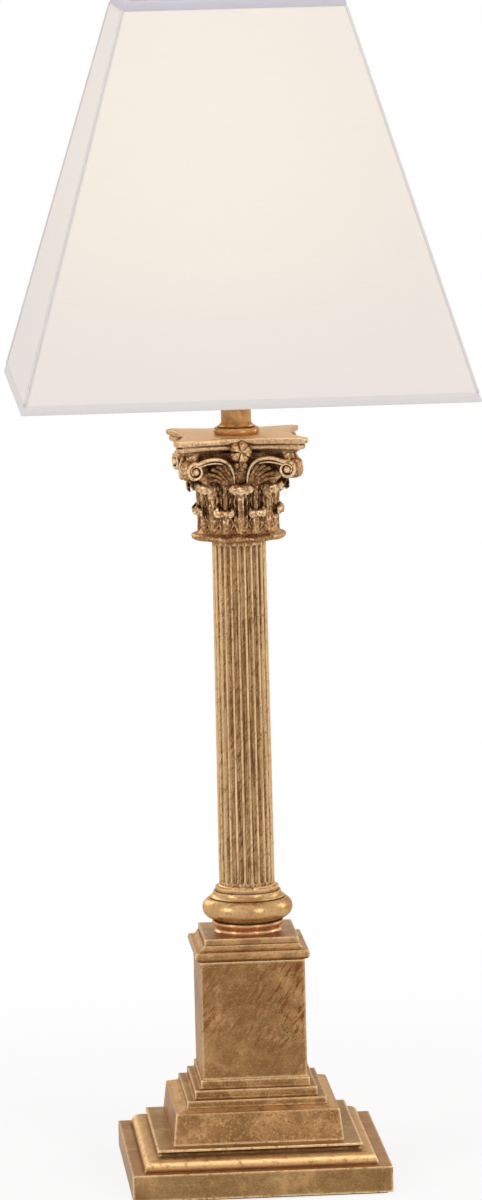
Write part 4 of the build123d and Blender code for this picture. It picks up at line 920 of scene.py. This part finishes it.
welt_form = Form()
welt_low = shade_low + TRIM_HEIGHT - WELT_LAP
welt_high = shade_high - TRIM_HEIGHT + WELT_LAP
for quarter in range(4):
    corner_low = face_point(quarter, 1.0, welt_low, 0.0)
    corner_high = face_point(quarter, 1.0, welt_high, 0.0)
    line = corner_low + np.outer(np.linspace(0, 1, WELT_POINTS), corner_high - corner_low)
    outward_way = np.array([corner_low[0], corner_low[1], 0.0])
    outward_way /= np.linalg.norm(outward_way)
    welt_form.tube(line + outward_way * 0.1, WELT_RADIUS, WELT_SIDES)
    welt_form.marks.extend((spot * WELT_AROUND, row * WELT_ALONG, 0.0)
                           for row in range(WELT_POINTS) for spot in range(WELT_SIDES))
piping = welt_form.piece("corner_welts", welt, "shade", ["corner_piping"])

# ---------------------------------------------------------------- felt pad
felt = Finish("green_felt")
felt_place = felt.place()
fibres = felt.noise(felt.stretched(felt_place, (1, 1, 0.4)), 1400, 4, 0.7)
tuft = felt.noise(felt_place, 120, 4)
felt_colour = felt.mix(fibres.between(0.35, 0.7), rgb(38, 46, 36), rgb(62, 74, 58))
felt_colour = felt.mix(tuft.between(0.5, 0.8) * 0.3, felt_colour, rgb(30, 36, 28))
felt_cloth = felt.surface(base_color=felt_colour, roughness=0.95, sheen_weight=0.4,
                          normal=felt.relief(fibres, 0.0002, 0.8))
FELT_HALF, MIDDLE_INSET, CORNER_CUT, FELT_GAP = 86.3, 60, 0.5, 0.02
felt_low, felt_high = levels("felt_pad")
turn = np.linspace(0, 2 * pi, 160, endpoint=False)
felt_profile = [(MIDDLE_INSET, felt_low + FELT_GAP), (0.8, felt_low + FELT_GAP),
                (0.25, felt_low + 0.25), (0.0, felt_low + 0.75), (0.25, felt_high - 0.25),
                (0.8, felt_high - FELT_GAP), (MIDDLE_INSET, felt_high - FELT_GAP)]
rows = []
for inset, level_height in felt_profile:
    reach = FELT_HALF - inset
    square = reach / np.maximum(np.abs(np.cos(turn)), np.abs(np.sin(turn)))
    rows.append(level_ring(np.minimum(square, (reach - CORNER_CUT) * sqrt(2)), turn,
                           level_height))
felt_form = Form()
felt_form.grid(rows)
pad = felt_form.piece("felt_sheet", felt_cloth, "lamp_base", ["felt_pad"], smooth_angle=40)
